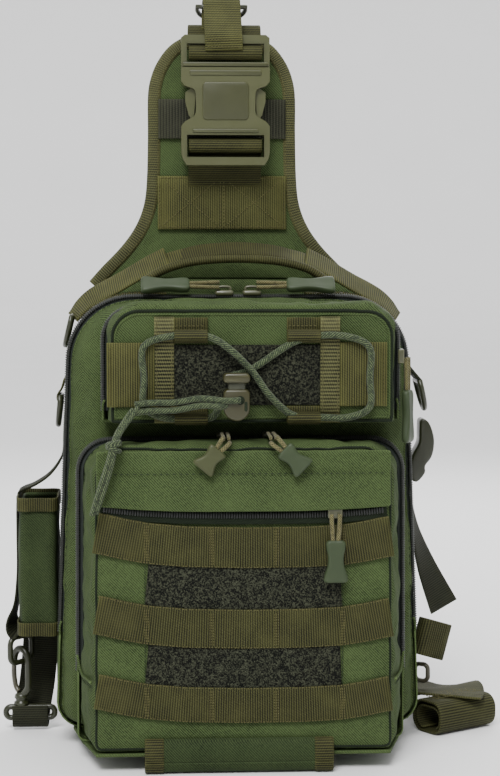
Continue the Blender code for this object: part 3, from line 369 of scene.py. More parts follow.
def box_uv(piece):
    """UVs in metres, each face seen along its main direction."""
    mesh = piece.data
    layer = mesh.uv_layers.get("UVMap") or mesh.uv_layers.new(name="UVMap")
    values = [0.0] * (2 * len(mesh.loops))
    for face in mesh.polygons:
        n = face.normal
        size = (abs(n.x), abs(n.y), abs(n.z))
        axes = ((1, 2), (0, 2), (0, 1))[size.index(max(size))]
        for loop in face.loop_indices:
            co = mesh.vertices[mesh.loops[loop].vertex_index].co
            values[2 * loop] = co[axes[0]]
            values[2 * loop + 1] = co[axes[1]]
    layer.data.foreach_set("uv", values)
    return piece


def applied(piece):
    """The same piece with its modifiers applied."""
    graph = bpy.context.evaluated_depsgraph_get()
    mesh = bpy.data.meshes.new_from_object(piece.evaluated_get(graph))
    piece.modifiers.clear()
    piece.data = mesh
    return piece


def smooth(points, per_span=4, closed=False):
    """A Catmull-Rom curve through points."""
    knots = [Vector(p) for p in points]
    if closed:
        knots = [knots[-1]] + knots + knots[:2]
    else:
        knots = [knots[0] * 2 - knots[1]] + knots + [knots[-1] * 2 - knots[-2]]
    route = []
    for a, b, c, d in zip(knots, knots[1:], knots[2:], knots[3:]):
        for i in range(per_span):
            t = i / per_span
            route.append(0.5 * (2 * b + (c - a) * t + (2 * a - 5 * b + 4 * c - d) * t * t
                                + (3 * b - a - 3 * c + d) * t ** 3))
    if not closed:
        route.append(knots[-2])
    return route


def sweep(name, path, sides, section, closed=False, solid=True):
    """A section, or one section for each point, carried along a path; U runs along it."""
    points = [Vector(p) for p in path]
    count = len(points)
    many = isinstance(section[0][0], (list, tuple))
    verts = []
    lengths = []
    length = 0.0
    for i, place in enumerate(points):
        before = points[i - 1] if i or closed else points[0]
        after = points[(i + 1) % count] if i < count - 1 or closed else points[-1]
        run = (after - before).normalized()
        wide = Vector(sides[i] if isinstance(sides, list) else sides)
        wide = (wide - run * wide.dot(run)).normalized()
        thick = run.cross(wide)
        length += (place - points[i - 1]).length if i else 0.0
        lengths.append(length)
        for a, b in (section[i] if many else section):
            verts.append(place + wide * a + thick * b)
    if closed:
        lengths.append(length + (points[0] - points[-1]).length)
    shape = section[0] if many else section
    size = len(shape)
    girth = [0.0]
    for i in range(size):
        a = shape[i]
        b = shape[(i + 1) % size]
        girth.append(girth[-1] + math.hypot(a[0] - b[0], a[1] - b[1]))
    faces = []
    uvs = []
    for i in range(count if closed else count - 1):
        j = (i + 1) % count
        for k in range(size):
            m = (k + 1) % size
            faces.append((i * size + k, i * size + m, j * size + m, j * size + k))
            for along, over in ((i, k), (i, k + 1), (i + 1, k + 1), (i + 1, k)):
                uvs.append((lengths[along] * MM, girth[over] * MM))
    if solid and not closed:
        for start, order in ((0, -1), ((count - 1) * size, 1)):
            corners = list(range(start, start + size))[::order]
            faces.append(corners)
            uvs += [(shape[c - start][0] * MM, shape[c - start][1] * MM) for c in corners]
    return make(name, verts, faces, uvs)


def circle(radius, steps=10):
    return [(radius * math.cos(TAU * i / steps), radius * math.sin(TAU * i / steps)) for i in range(steps)]


def flat_section(width, thickness, edge=None, across=6):
    """A flat section with round edges and some points across it."""
    half = width / 2
    edge = min(edge or thickness * 0.48, thickness * 0.48)
    side = [(half - edge, -thickness / 2)]
    for i in range(1, 6):
        angle = -math.pi / 2 + math.pi * i / 6
        side.append((half - edge + edge * math.cos(angle), thickness / 2 * math.sin(angle)))
    side.append((half - edge, thickness / 2))
    inner = [(half - edge - (2 * half - 2 * edge) * i / across, thickness / 2) for i in range(1, across)]
    return side + inner + [(-a, -b) for a, b in side + inner]


def ribbon(name, path, sides, width, body, material, replaces=(), thickness=1.5, per_span=4, round_off=True):
    """Flat webbing along a smooth path."""
    route = smooth(path, per_span) if round_off else [Vector(p) for p in path]
    if isinstance(sides, list):
        turned = smooth([Vector(s) * 100 for s in sides], per_span) if round_off else sides
        sides = [Vector(s) for s in turned]
    piece = sweep(name, route, sides, flat_section(width, thickness))
    return finish_piece(piece, body, material, replaces)


def rod(name, path, radius, body, material, replaces=(), closed=False, per_span=1, steps=12):
    """A round rod along a path, with a steady side direction."""
    route = smooth(path, per_span, closed) if per_span > 1 else [Vector(p) for p in path]
    sides = []
    side = Vector((0.31, 0.22, 0.92))
    count = len(route)
    for i in range(count):
        before = route[i - 1] if i or closed else route[0]
        after = route[(i + 1) % count] if i < count - 1 or closed else route[-1]
        run = (after - before).normalized()
        side = (side - run * side.dot(run)).normalized()
        sides.append(side)
    piece = sweep(name, route, sides, circle(radius, steps), closed)
    return finish_piece(piece, body, material, replaces)


def stitches(name, lines, body, material=None, pitch=3.1, dash=2.1, radius=0.34):
    """Sewing thread: one short spindle for each stitch along the lines."""
    verts = []
    faces = []
    uvs = []
    for line in lines:
        points = [Vector(p) for p in line]
        run_out = 0.4
        for a, b in zip(points, points[1:]):
            span = (b - a).length
            if span < 1e-6:
                continue
            way = (b - a) / span
            side = way.cross(Vector((0.12, 0.34, 0.93))).normalized()
            up = way.cross(side)
            while run_out + dash <= span:
                start = a + way * run_out
                base = len(verts)
                for t, r in ((0.0, 0.35), (0.25, 1.0), (0.75, 1.0), (1.0, 0.35)):
                    for k in range(5):
                        angle = TAU * k / 5
                        verts.append(start + way * (dash * t)
                                     + (side * math.cos(angle) + up * math.sin(angle)) * radius * r)
                for ring in range(3):
                    for k in range(5):
                        m = (k + 1) % 5
                        faces.append((base + ring * 5 + k, base + ring * 5 + m,
                                      base + ring * 5 + 5 + m, base + ring * 5 + 5 + k))
                        uvs += [(ring * 0.0007, k * 0.0004), (ring * 0.0007, k * 0.0004 + 0.0004),
                                (ring * 0.0007 + 0.0007, k * 0.0004 + 0.0004),
                                (ring * 0.0007 + 0.0007, k * 0.0004)]
                for corners in ([base + k for k in (4, 3, 2, 1, 0)], [base + 15 + k for k in range(5)]):
                    faces.append(corners)
                    uvs += [(0.0, 0.0)] * 5
                run_out += pitch
            run_out = max(run_out - span, 0.0)
    piece = make(name, verts, faces, uvs)
    return finish_piece(piece, body, material or thread_green)


def teeth(name, path, outs, across, shift, body, pitch=1.5, replaces=(), material=None):
    """One row of zip coil: small lozenges across the zip, on a path."""
    verts = []
    faces = []
    uvs = []
    travelled = shift
    points = [Vector(p) for p in path]
    for i, (a, b) in enumerate(zip(points, points[1:])):
        span = (b - a).length
        way = (b - a) / span
        out = Vector(outs[i]).normalized()
        wide = way.cross(out).normalized()
        while travelled < span:
            middle = a + way * travelled + wide * across
            base = len(verts)
            for w, size in ((-1.9, 0.55), (-1.2, 1.0), (1.2, 1.0), (1.9, 0.55)):
                for k in range(6):
                    angle = TAU * k / 6
                    verts.append(middle + wide * w + (way * math.cos(angle) * 0.58
                                                      + out * math.sin(angle) * 0.95) * size)
            for ring in range(3):
                for k in range(6):
                    m = (k + 1) % 6
                    faces.append((base + ring * 6 + k, base + ring * 6 + 6 + k,
                                  base + ring * 6 + 6 + m, base + ring * 6 + m))
                    uvs += [(0.0, 0.0), (0.001, 0.0), (0.001, 0.001), (0.0, 0.001)]
            faces.append([base + k for k in range(6)])
            faces.append([base + 18 + k for k in (5, 4, 3, 2, 1, 0)])
            uvs += [(0.0, 0.0)] * 12
            travelled += pitch
        travelled -= span
    return finish_piece(make(name, verts, faces, uvs), body, material or zip_coil, replaces)


# ------------------------------------------------------------------ outlines and shells
def arc(centre, radius, start, end, steps=8):
    points = []
    for i in range(steps + 1):
        angle = math.radians(start + (end - start) * i / steps)
        points.append((centre[0] + radius * math.cos(angle), centre[1] + radius * math.sin(angle)))
    return points


def body_outline(half_low, half_high, low, high, corner, foot, x=0.0, inset=0.0):
    """A bag section that narrows upwards, with round corners, anticlockwise from the front."""
    half_low -= inset
    half_high -= inset
    low += inset
    high -= inset
    corner = max(corner - inset, 2.0)
    foot = max(foot - inset, 1.0)
    points = arc((half_low - foot, low + foot), foot, -90, 0, 5)
    points += arc((half_high - corner, high - corner), corner, 0, 90, 12)
    left = [(-px, pz) for px, pz in reversed(points)]
    return [(px + x, pz) for px, pz in points + left]


def dense(outline, step=6.0):
    """A closed outline with points no further apart than step."""
    made = []
    for a, b in zip(outline, outline[1:] + outline[:1]):
        span = math.hypot(b[0] - a[0], b[1] - a[1])
        parts = max(int(math.ceil(span / step)), 1)
        made += [(a[0] + (b[0] - a[0]) * i / parts, a[1] + (b[1] - a[1]) * i / parts) for i in range(parts)]
    return made


def closed_loft(name, rings, step=6.0):
    """A closed body through (y, outline) rings of equal counts, with points at most a step apart."""
    first = rings[0][1]
    parts = [max(int(math.ceil(math.hypot(b[0] - a[0], b[1] - a[1]) / step)), 1)
             for a, b in zip(first, first[1:] + first[:1])]
    fine = []
    for y, outline in rings:
        made = []
        for (a, b), n in zip(zip(outline, outline[1:] + outline[:1]), parts):
            made += [(a[0] + (b[0] - a[0]) * i / n, a[1] + (b[1] - a[1]) * i / n) for i in range(n)]
        fine.append((y, made))
    rings = fine
    verts = [(px, y, pz) for y, outline in rings for px, pz in outline]
    size = len(rings[0][1])
    faces = []
    for i in range(len(rings) - 1):
        for k in range(size):
            m = (k + 1) % size
            faces.append((i * size + k, i * size + m, (i + 1) * size + m, (i + 1) * size + k))
    faces.append(list(range(size))[::-1])
    faces.append(list(range((len(rings) - 1) * size, len(rings) * size)))
    piece = make(name, verts, faces)
    bm = bmesh.new()
    bm.from_mesh(piece.data)
    bmesh.ops.recalc_face_normals(bm, faces=bm.faces)
    bm.to_mesh(piece.data)
    bm.free()
    return piece


def swell(piece, voxel, pressure, cap, pinned, slack=0.0, settle=20):
    """Remeshes a closed piece and blows it up as cloth; pinned(point in mm) gives 0 to 1."""
    remesh = piece.modifiers.new("remesh", "REMESH")
    remesh.mode = "VOXEL"
    remesh.voxel_size = voxel * MM
    applied(piece)
    piece.data.polygons.foreach_set("use_smooth", [True] * len(piece.data.polygons))
    start = [v.co.copy() for v in piece.data.vertices]
    group = piece.vertex_groups.new(name="pin")
    for i, co in enumerate(start):
        weight = pinned(co / MM)
        if weight > 0:
            group.add([i], weight, "REPLACE")
    cloth = piece.modifiers.new("cloth", "CLOTH")
    settings = cloth.settings
    settings.quality = 4
    settings.mass = 0.25
    settings.tension_stiffness = 18
    settings.compression_stiffness = 18
    settings.shear_stiffness = 6
    settings.bending_stiffness = 0.6
    settings.shrink_min = -slack
    settings.use_pressure = True
    settings.uniform_pressure_force = pressure
    settings.effector_weights.gravity = 0.0
    settings.vertex_group_mass = "pin"
    cloth.point_cache.frame_end = settle
    for step in range(1, settle + 1):
        scene.frame_set(step)
    applied(piece)
    for vertex, rest in zip(piece.data.vertices, start):
        move = vertex.co - rest
        if move.length > cap * MM:
            vertex.co = rest + move.normalized() * (cap * MM)
    piece.vertex_groups.clear()
    scene.frame_set(1)
    return piece


def refine(piece, levels=1):
    sub = piece.modifiers.new("sub", "SUBSURF")
    sub.levels = levels
    sub.render_levels = levels
    return applied(piece)


def opened(piece, y, keep_behind, thickness):
    """The piece cut open at a plane across Y, with walls of a thickness inwards."""
    bm = bmesh.new()
    bm.from_mesh(piece.data)
    bmesh.ops.bisect_plane(bm, geom=bm.verts[:] + bm.edges[:] + bm.faces[:], plane_co=(0, y * MM, 0),
                           plane_no=(0, 1, 0), clear_inner=keep_behind, clear_outer=not keep_behind)
    bmesh.ops.recalc_face_normals(bm, faces=bm.faces)
    bm.to_mesh(piece.data)
    bm.free()
    wall = piece.modifiers.new("wall", "SOLIDIFY")
    wall.thickness = thickness * MM
    wall.offset = -1.0
    return applied(piece)


def laid_on(points, shell, sink):
    """Points brought onto a shell's surface, or a little under it, so that a seam touches its cloth."""
    mesh = shell.data
    tree = BVHTree.FromPolygons([v.co for v in mesh.vertices], [tuple(f.vertices) for f in mesh.polygons])
    moved = []
    for point in points:
        place, normal, _, _ = tree.find_nearest(Vector(point) * MM)
        moved.append(place / MM - normal * sink)
    return moved


def crumple(piece, amount, scale, keep, seed=0.0):
    """Soft folds: moves points along their normals by noise, where keep(point) allows."""
    for vertex in piece.data.vertices:
        place = vertex.co / MM
        weight = keep(place)
        if weight > 0:
            value = noise.noise(Vector((place.x / scale + seed, place.y / scale * 1.7, place.z / scale)))
            vertex.co += vertex.normal * (value * amount * weight * MM)
    return piece


# ------------------------------------------------------------------ driving sizes
BASE_TOP = 12.55
ZIP_END_Z = 75.0
HIGH_X = 6.5
FACE_Y = -76.0
HIGH_FACE_Y = -58.0
LACE_X = 3.0
PAD_X = -7.8
BUCKLE_X = -6.0


def body_ring(y, inset, shrink=0.0, high_shrink=0.0):
    return (y, body_outline(118 - shrink, 110 - shrink - high_shrink, BASE_TOP, 293, 42, 16, inset=inset))


def near(value, target, reach):
    return max(0.0, 1.0 - abs(value - target) / reach)


# ------------------------------------------------------------------ the cords
CORD_R = 2.2
FRONT = -62.5
OVER = -67.3
LACE_ROUTE = [(-9.0, FRONT, 245.0), (6.0, FRONT, 250.0), (31.0, FRONT, 266.0), (50.0, FRONT, 270.5),
              (68.0, FRONT, 269.0), (79, FRONT, 262.0), (79, FRONT, 244.0), (79, FRONT, 226.0),
              (66.0, FRONT, 219.5), (50.0, FRONT, 219.5), (31.0, FRONT - 0.7, 221.0),
              (16.0, OVER, 234.0), (6.0, OVER, 248.0), (-8.0, OVER, 262.0), (-22.0, FRONT, 270.0),
              (-42.0, FRONT, 270.5), (-61, FRONT, 264.0), (-61, FRONT, 244.0), (-61, FRONT, 227.0),
              (-50.0, FRONT, 220.0), (-36.0, FRONT, 219.0), (-20.0, FRONT, 219.5), (-14.5, FRONT, 226.0)]
TAIL_ROUTE = [(-66.5, -67.5, 226.0), (-71.0, -71.0, 219.5), (-76.5, -77.5, 211.5),
              (-79.5, -84.6, 204.0), (-82.0, -86.6, 194.0), (-86.5, -86.8, 179.0), (-91.5, -86.6, 163.0)]


def lacing():
    """The lacing on the upper pocket, and its two free ends below their knot."""
    route = smooth(LACE_ROUTE, 5)
    lace = rod("lacing_line", route, CORD_R, "upper_pocket", lace_cord, "lacing_cord")
    middle = smooth(TAIL_ROUTE, 6)
    knot_at = Vector((-79.5, -84.4, 204.0))
    loops = []
    for turn, (tilt, lift) in enumerate(((0.35, 0.9), (-0.5, -0.9), (0.1, 2.2))):
        ring = []
        for i in range(15):
            angle = TAU * i / 14
            ring.append(knot_at + Vector((3.4 * math.cos(angle), 2.6 * math.sin(angle),
                                          lift + tilt * 3.4 * math.cos(angle) * (1 if turn < 2 else 2))))
        loops.append(rod("knot_turn_%d" % turn, ring[:-1], 1.55, None, lace_cord, closed=True))
    for index, side in enumerate((-1.0, 1.0)):
        line = []
        for i, point in enumerate(middle):
            share = i / (len(middle) - 1)
            gap = 1.45 + 0.4 * math.sin(share * 9.0 + index)
            line.append(point + Vector((side * gap * 0.92, side * 0.25, side * gap * 0.34)))
        tail = rod("lace_tail_%d" % index, line, 1.5, "lace_tails", lace_cord,
                   "lace_tails" if not index else ())
    for loop in loops:
        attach(loop, "lace_tails")


lacing()


# ------------------------------------------------------------------ main compartment
def rear_compartment():
    rings = [body_ring(-6.0, 0.0), body_ring(12.0, 0.3), body_ring(30.0, 0.3), body_ring(49.0, 0.4),
             body_ring(56.0, 2.6), body_ring(59.5, 8.5)]
    shell = closed_loft("shell_rear", rings)
    swell(shell, 5.0, 3.2, 3.0, lambda p: max(near(p.y, -3, 9), near(p.y, 57, 5), near(p.z, 13, 6)), 0.01)
    opened(refine(shell), 1.4, True, 2.2)
    box_uv(shell)
    finish_piece(shell, "bag", fabric, "rear_shell")
    for tag, y, inset, r in (("rear", 55.4, 1.2, 1.5), ("zip", 3.4, -0.5, 0.9)):
        outline = body_outline(118, 110, BASE_TOP, 293, 42, 16, inset=inset)
        line = laid_on([(px, y, pz) for px, pz in dense(outline, 4)], shell, 0.2)
        rod("piping_" + tag, line, r, "bag", fabric, closed=True)
    outline = dense(body_outline(118, 110, BASE_TOP, 293, 42, 16, inset=-0.6), 5)
    line = [(px, 6.6, pz) for px, pz in outline]
    stitches("stitch_rear", [line], "bag")

    trapezoid = [(-105, 54), (-108, -4.2), (-101.5, -38), (-91.5, -75)]
    ring = trapezoid + [(-px, py) for px, py in reversed(trapezoid)]
    base = make("base_cloth", [(px, py, 10.0) for px, py in ring] + [(px, py, 12.2) for px, py in ring],
                [list(range(8))[::-1], list(range(8, 16))]
                + [(k, (k + 1) % 8, 8 + (k + 1) % 8, 8 + k) for k in range(8)], smooth=False)
    edge = base.modifiers.new("edge", "BEVEL")
    edge.width = 0.9 * MM
    edge.segments = 3
    applied(base)
    box_uv(base)
    finish_piece(base, "bag", fabric, "base_panel")

    pad = closed_loft("back_cushion", [(60.6, body_outline(103, 95, 27, 283, 35, 12)),
                                       (63.0, body_outline(103.5, 95.5, 26.5, 283.5, 35, 12)),
                                       (67.5, body_outline(103, 95, 27, 283, 35, 12)),
                                       (69.5, body_outline(98, 90, 32, 278, 30, 9))])
    swell(pad, 5.0, 3.0, 2.0, lambda p: 1.0 if p.y < 62.5 else 0.9 * near(p.x, 0, 5))
    refine(pad)
    box_uv(pad)
    finish_piece(pad, "bag", back_mesh, "back_pad")
    edge = body_outline(104, 96, 26, 284, 36, 12, inset=1.0)
    line = laid_on([(px, 63.0, pz) for px, pz in dense(edge, 4)], pad, 0.2)
    rod("back_cushion_piping", line, 1.6, "bag", fabric, closed=True)


rear_compartment()


def upper_part(outline, end_z):
    """An outline's points above end_z, from its right foot over the top to its left foot."""
    points = [(px, pz) for px, pz in outline if pz > end_z]
    return [(points[0][0], end_z)] + points + [(points[-1][0], end_z)]


def outward(points, closed=False):
    """Directions that point out of an anticlockwise outline, in the X-Z plane."""
    dirs = []
    for i in range(len(points)):
        a = points[max(i - 1, 0)]
        b = points[min(i + 1, len(points) - 1)]
        dirs.append(Vector((b[1] - a[1], 0.0, -(b[0] - a[0]))).normalized())
    return dirs


def zipped(tag, outline, end_z, y, front_body, rear_body, replaces, half=3.0, lift=0.2, garage=True):
    """A zip round an outline: a tape and a row of coil on each side, and its two end tabs."""
    points = upper_part(outline, end_z)
    dirs = outward(points)
    for side, body, label in ((-1, front_body, "front"), (1, rear_body, "rear")):
        path = [Vector((px, y + side * half * 0.55, pz)) - d * 1.1 for (px, pz), d in zip(points, dirs)]
        across = [Vector((d.x * 0.66, 0.75 * -side, d.z * 0.66)) for d in dirs]
        tape = sweep("zip_tape_%s_%s" % (tag, label), path, across, flat_section(half * 1.5, 0.8))
        finish_piece(tape, body, zip_tape, replaces if side > 0 else ())
        forward = 1.9 if side < 0 else 0.0
        raised = [Vector((px, y - forward, pz)) + d * (1.0 + lift) for (px, pz), d in zip(points, dirs)]
        outs = [Vector((d.x, -0.75 if side < 0 else 0.0, d.z)) for d in dirs]
        teeth("zip_coil_%s_%s" % (tag, label), raised, outs, 0.0, 0.2 + (0.75 if side > 0 else 0), body)
    if garage:
        for index, (px, pz) in ((0, points[0]), (1, points[-1])):
            sign = 1 if px > 0 else -1
            block = ribbon("zip_garage_%s_%d" % (tag, index),
                           [(px - sign * 0.2, y, pz + 7), (px + sign * 0.8, y, pz + 3),
                            (px + sign * 0.6, y, pz - 6)], (0, 1, 0), half * 2 + 3, rear_body, fabric,
                           thickness=1.6)
            box_uv(block)


def main_zip():
    outline = dense(body_outline(118, 110, BASE_TOP, 293, 42, 16, inset=0.7), 4)
    zipped("main", outline, ZIP_END_Z, -1.5, "main_front", "bag", "main_zip")


main_zip()


def front_compartment():
    rings = [body_ring(4.0, 2.4), body_ring(-4.2, 2.6), body_ring(-8.0, 2.6, 1, 1),
             body_ring(-14.0, 2.4, 4, 3), body_ring(-20.0, 2.6, 7, 5), body_ring(-24.0, 5.0, 7, 5)]
    shell = closed_loft("shell_front", rings)

    def pinned(p):
        return max(near(p.y, 0, 7), near(p.z, 13, 6), 1.0 if p.y < -21.5 and abs(p.x) < 96 else 0.0)

    swell(shell, 5.0, 3.4, 2.6, pinned, 0.03)
    refine(shell)
    crumple(shell, 1.6, 26.0, lambda p: near(p.y, -13, 9) if abs(p.x) > 90 else 0.0)
    opened(shell, -4.4, False, 2.2)
    box_uv(shell)
    finish_piece(shell, "main_front", fabric, "front_panel")
    outline = body_outline(118, 110, BASE_TOP, 293, 42, 16, inset=2.4)
    line = laid_on([(px, -5.6, pz) for px, pz in dense(outline, 4)], shell, 0.1)
    rod("piping_front", line, 1.0, "main_front", fabric, closed=True)
    outline = dense(body_outline(117.4, 109.4, BASE_TOP, 293, 42, 16, inset=2.0), 5)
    stitches("stitch_front", [[(px, -9.0, pz) for px, pz in outline]], "main_front")


front_compartment()


def low_run(outline, top_z):
    """The part of an outline below top_z: down the left side, along the foot, up the right."""
    size = len(outline)
    start = next(i for i in range(size) if outline[i][1] > top_z >= outline[(i + 1) % size][1]
                 and outline[i][0] < 0)
    run = []
    for i in range(size):
        px, pz = outline[(start + 1 + i) % size]
        if pz > top_z and px > 0:
            break
        run.append((px, pz))
    return run


def fold_strip(name, outline, top_z, y_front, y_rear, proud):
    """Fabric below a zip's ends, between its two sides."""
    points = low_run(outline, top_z)
    steps = 6
    verts = []
    dirs = outward(points)
    for (px, pz), d in zip(points, dirs):
        for k in range(steps + 1):
            share = k / steps
            place = Vector((px, y_front + (y_rear - y_front) * share, pz))
            verts.append(place + d * (proud * (0.35 + 0.65 * math.sin(math.pi * share))))
    faces = []
    for i in range(len(points) - 1):
        for k in range(steps):
            a = i * (steps + 1) + k
            faces.append((a, a + steps + 1, a + steps + 2, a + 1))
    piece = make(name, verts, faces)
    wall = piece.modifiers.new("wall", "SOLIDIFY")
    wall.thickness = 1.0 * MM
    wall.offset = 0.0
    applied(piece)
    box_uv(piece)
    finish_piece(piece, None, fabric)
    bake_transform(piece)
    return piece


fold_strip("foot_fold_main", dense(body_outline(118, 110, BASE_TOP, 293, 42, 16, inset=0.6), 5), 76,
           -7.0, 4.0, 1.0)


# ------------------------------------------------------------------ lower pocket
ROW_RISE = ((-89.5, 9.8), (-75.0, 6.2), (-60.0, 3.3), (-36.0, 1.0), (0.0, 0.0), (36.0, 0.2),
            (60.0, 1.2), (75.0, 3.4), (89.5, 6.4))
ROWS = ((128.0, 153.3), (77.9, 102.2), (31.3, 53.3))


def rise(x):
    """How much higher the rows are sewn at x than in the middle."""
    for (xa, ra), (xb, rb) in zip(ROW_RISE, ROW_RISE[1:]):
        if x <= xb:
            share = max((x - xa) / (xb - xa), 0.0)
            return ra + (rb - ra) * share
    return ROW_RISE[-1][1]


def lower_outline(half, inset, high=204.0):
    return body_outline(half, half - 1, BASE_TOP, high, 20, 5, inset=inset)


def lower_pocket():
    rings = [(-34.0, lower_outline(102.5, 2.0)), (-41.0, lower_outline(102, 1.6)),
             (-56.0, lower_outline(97.5, 1.2)), (-70.0, lower_outline(94.5, 0.2)),
             (-75.2, lower_outline(94.0, 0.0)), (-76.0, lower_outline(94, 2.5))]
    shell = closed_loft("pocket_lower", rings)

    def pinned(p):
        return max(near(p.y, -36, 5), 1.0 if p.y < -73.5 else 0.0, near(p.z, 13, 6))

    swell(shell, 4.5, 3.6, 2.6, pinned, 0.03)
    refine(shell)
    crumple(shell, 1.5, 24.0, lambda p: near(p.y, -57, 14))
    opened(shell, -38.6, False, 2.2)
    box_uv(shell)
    finish_piece(shell, "lower_pocket", fabric, "lower_pocket")
    # Painted shade: a thin dark cord round the pocket face stands for the shadow in the seam's groove.
    groove = [(px, -76.2, pz) for px, pz in dense(lower_outline(94.2, 1.5), 3)]
    rod("seam_shade_pocket_face", laid_on(groove, shell, 0.1), 0.85, "lower_pocket", painted_shade_dark, closed=True)
    outline = dense(lower_outline(103.5, 0.6), 4)
    zipped("lower", outline, 57.0, -38.0, "lower_pocket", "main_front", "lower_zip")
    line = [(px, -44.5, pz) for px, pz in dense(lower_outline(101.0, 1.6), 4) if pz > 50]
    start = max(range(len(line)), key=lambda i: (Vector(line[i]) - Vector(line[i - 1])).length)
    stitches("stitch_pocket_zip", [line[start:] + line[:start]], "lower_pocket")
    fold_strip("foot_fold_lower", dense(lower_outline(103.5, 0.4), 5), 57, -43.0, -27.0,
               0.8)
    frame_rear = []
    for inset in (0.2, 5.0):
        frame_rear.append(dense(lower_outline(103.5, inset), 5))
    tape = [(px, -30.0, pz) for px, pz in frame_rear[0]]
    band = sweep("pocket_lower_frame", tape, (0, 1, 0), flat_section(13.0, 1.8), closed=True)
    box_uv(band)
    finish_piece(band, "main_front", fabric)

    for sign, label in ((-1, "left"), (1, "right")):
        rows = []
        for i in range(11):
            share = i / 10
            rows.append((sign * (103.9 - 9.4 * share), -40.5 - 34.0 * share,
                         57.0 + (10.0 if share < 1 else 0) * max(0.0, 1 - share * 2.2) ** 2))
        rod("foot_seam_" + label, smooth(rows, 2), 0.9, "lower_pocket", fabric)
        under = [Vector(p) + Vector((0, 0, -3.0)) for p in rows]
        stitches("foot_stitch_" + label, [under], "lower_pocket")


lower_pocket()


def curved_plate(name, x_low, x_high, z_low, z_high, y, thickness, body, material, replaces=(), lift=rise,
                 bow=0.0):
    """A strip sewn on a pocket face along the rows' curve; U runs along X."""
    steps = max(int((x_high - x_low) / 5), 2)
    path = []
    for i in range(steps + 1):
        x = x_low + (x_high - x_low) * i / steps
        share = i / steps
        middle = (z_low + z_high) / 2 + lift(x)
        path.append((x, y - bow * math.sin(math.pi * share), middle))
    piece = sweep(name, path, (0, 0, 1), flat_section(z_high - z_low, thickness))
    return finish_piece(piece, body, material, replaces)


def row_curve(x_low, x_high, z, y, step=4.0):
    count = max(int((x_high - x_low) / step), 2)
    return [(x_low + (x_high - x_low) * i / count, y, z + rise(x_low + (x_high - x_low) * i / count))
            for i in range(count + 1)]


TACKS = (-60.0, -20.0, 20.0, 61.0)


def pocket_rows():
    for i, (low, high) in enumerate(ROWS):
        curved_plate("row_%d" % i, -91.0, 91.0, low, high, -77.5, 1.7, "lower_pocket", webbing,
                     "attachment_webbing" if not i else ())
    for i in range(2):
        low = ROWS[i + 1][1] - 1.0
        high = ROWS[i][0] + 1.0
        curved_plate("loop_panel_%d" % i, -60.0, 60.0, low, high, -76.8, 1.2, "lower_pocket", loop_tape)
        lines = [[(x, -77.5, low + 1 + rise(x)), (x, -77.5, high - 1 + rise(x))] for x in (-61.0, 61.0)]
        stitches("loop_panel_stitch_%d" % i, lines, "lower_pocket")
    lines = []
    for low, high in ROWS:
        for x in TACKS:
            for dx in (-1.1, 0.0, 1.1):
                lines.append([(x + dx, -78.45, low + 1.2 + rise(x)), (x + dx, -78.45, high - 1.2 + rise(x))])
    stitches("row_tacks", lines, "lower_pocket", thread_olive, 1.7, 1.4, 0.33)
    edges = []
    for low, high in ROWS:
        for z in (low + 0.5, high - 0.5):
            edges.append(row_curve(-90.0, 90.0, z, -78.25))
    stitches("row_selvedges", edges, "lower_pocket", thread_olive, 1.7, 1.15, 0.42)


pocket_rows()


def storm_flap():
    """The flap over the hidden zip: one cloth from the pocket's top edge, and the zip below it."""
    columns = 46
    rows = 16
    verts = []
    for j in range(rows + 1):
        share = j / rows
        for i in range(columns + 1):
            x = -90.5 + 181.0 * i / columns
            side = abs(x) / 90.5
            low = 163.4 + (3.4 if x < 0 else 2.4) * max(0.0, side - 0.35) ** 1.5 / 0.53
            z = 200.5 + (low - 200.5) * share
            out = 0.9 + 3.9 * share ** 0.8 * (1 - 0.72 * side ** 4) + 0.8 * noise.noise(
                Vector((x / 21.0, 3.1, z / 26.0)))
            crease = 0.7 * math.exp(-((z - 186.0) / 1.6) ** 2)
            verts.append((x, -76.3 - out + crease, z))
    faces = []
    for j in range(rows):
        for i in range(columns):
            a = j * (columns + 1) + i
            faces.append((a, a + columns + 1, a + columns + 2, a + 1))
    flap = make("storm_cloth", verts, faces)
    wall = flap.modifiers.new("wall", "SOLIDIFY")
    wall.thickness = 1.3 * MM
    wall.offset = 0.0
    applied(flap)
    refine(flap)
    box_uv(flap)
    finish_piece(flap, None, fabric, "storm_flap")
    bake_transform(flap)
    line = [(-88.0 + 4.0 * i, -79.2 - 1.0 * (1 - (abs(-88.0 + 4.0 * i) / 90) ** 4), 186.6) for i in range(45)]
    stitches("storm_stitch", [line], "lower_pocket", thread_green, 3.3, 2.2, 0.36)
    hem = [(-88.0 + 4.0 * i, -81.3, 166.2) for i in range(45)]

    # Painted shade: the zip under the flap takes the near-black shade cloth for its tape and the darker coil copy,
    # for the flap's shadow.
    tape = sweep("hidden_zip_tape", [(-88.0 + 4.0 * i, -77.0, 160.5 + rise(-88.0 + 4.0 * i) * 0.5)
                                     for i in range(45)], (0, 0, 1), flat_section(11.0, 0.9))
    finish_piece(tape, "lower_pocket", painted_shade_dark)
    run = [Vector((-86.0 + 4.0 * i, -78.0, 160.6 + rise(-86.0 + 4.0 * i) * 0.5)) for i in range(44)]
    out = [Vector((0, -1, 0))] * len(run)
    teeth("hidden_zip_coil", run, out, 0.0, 0.3, "lower_pocket", 1.6, material=painted_shade_coil)


storm_flap()


# ------------------------------------------------------------------ upper pocket
def upper_outline(half, inset, drop=0.0):
    return body_outline(half, half, 214.5, 287 - drop, 20, 3, x=HIGH_X, inset=inset)


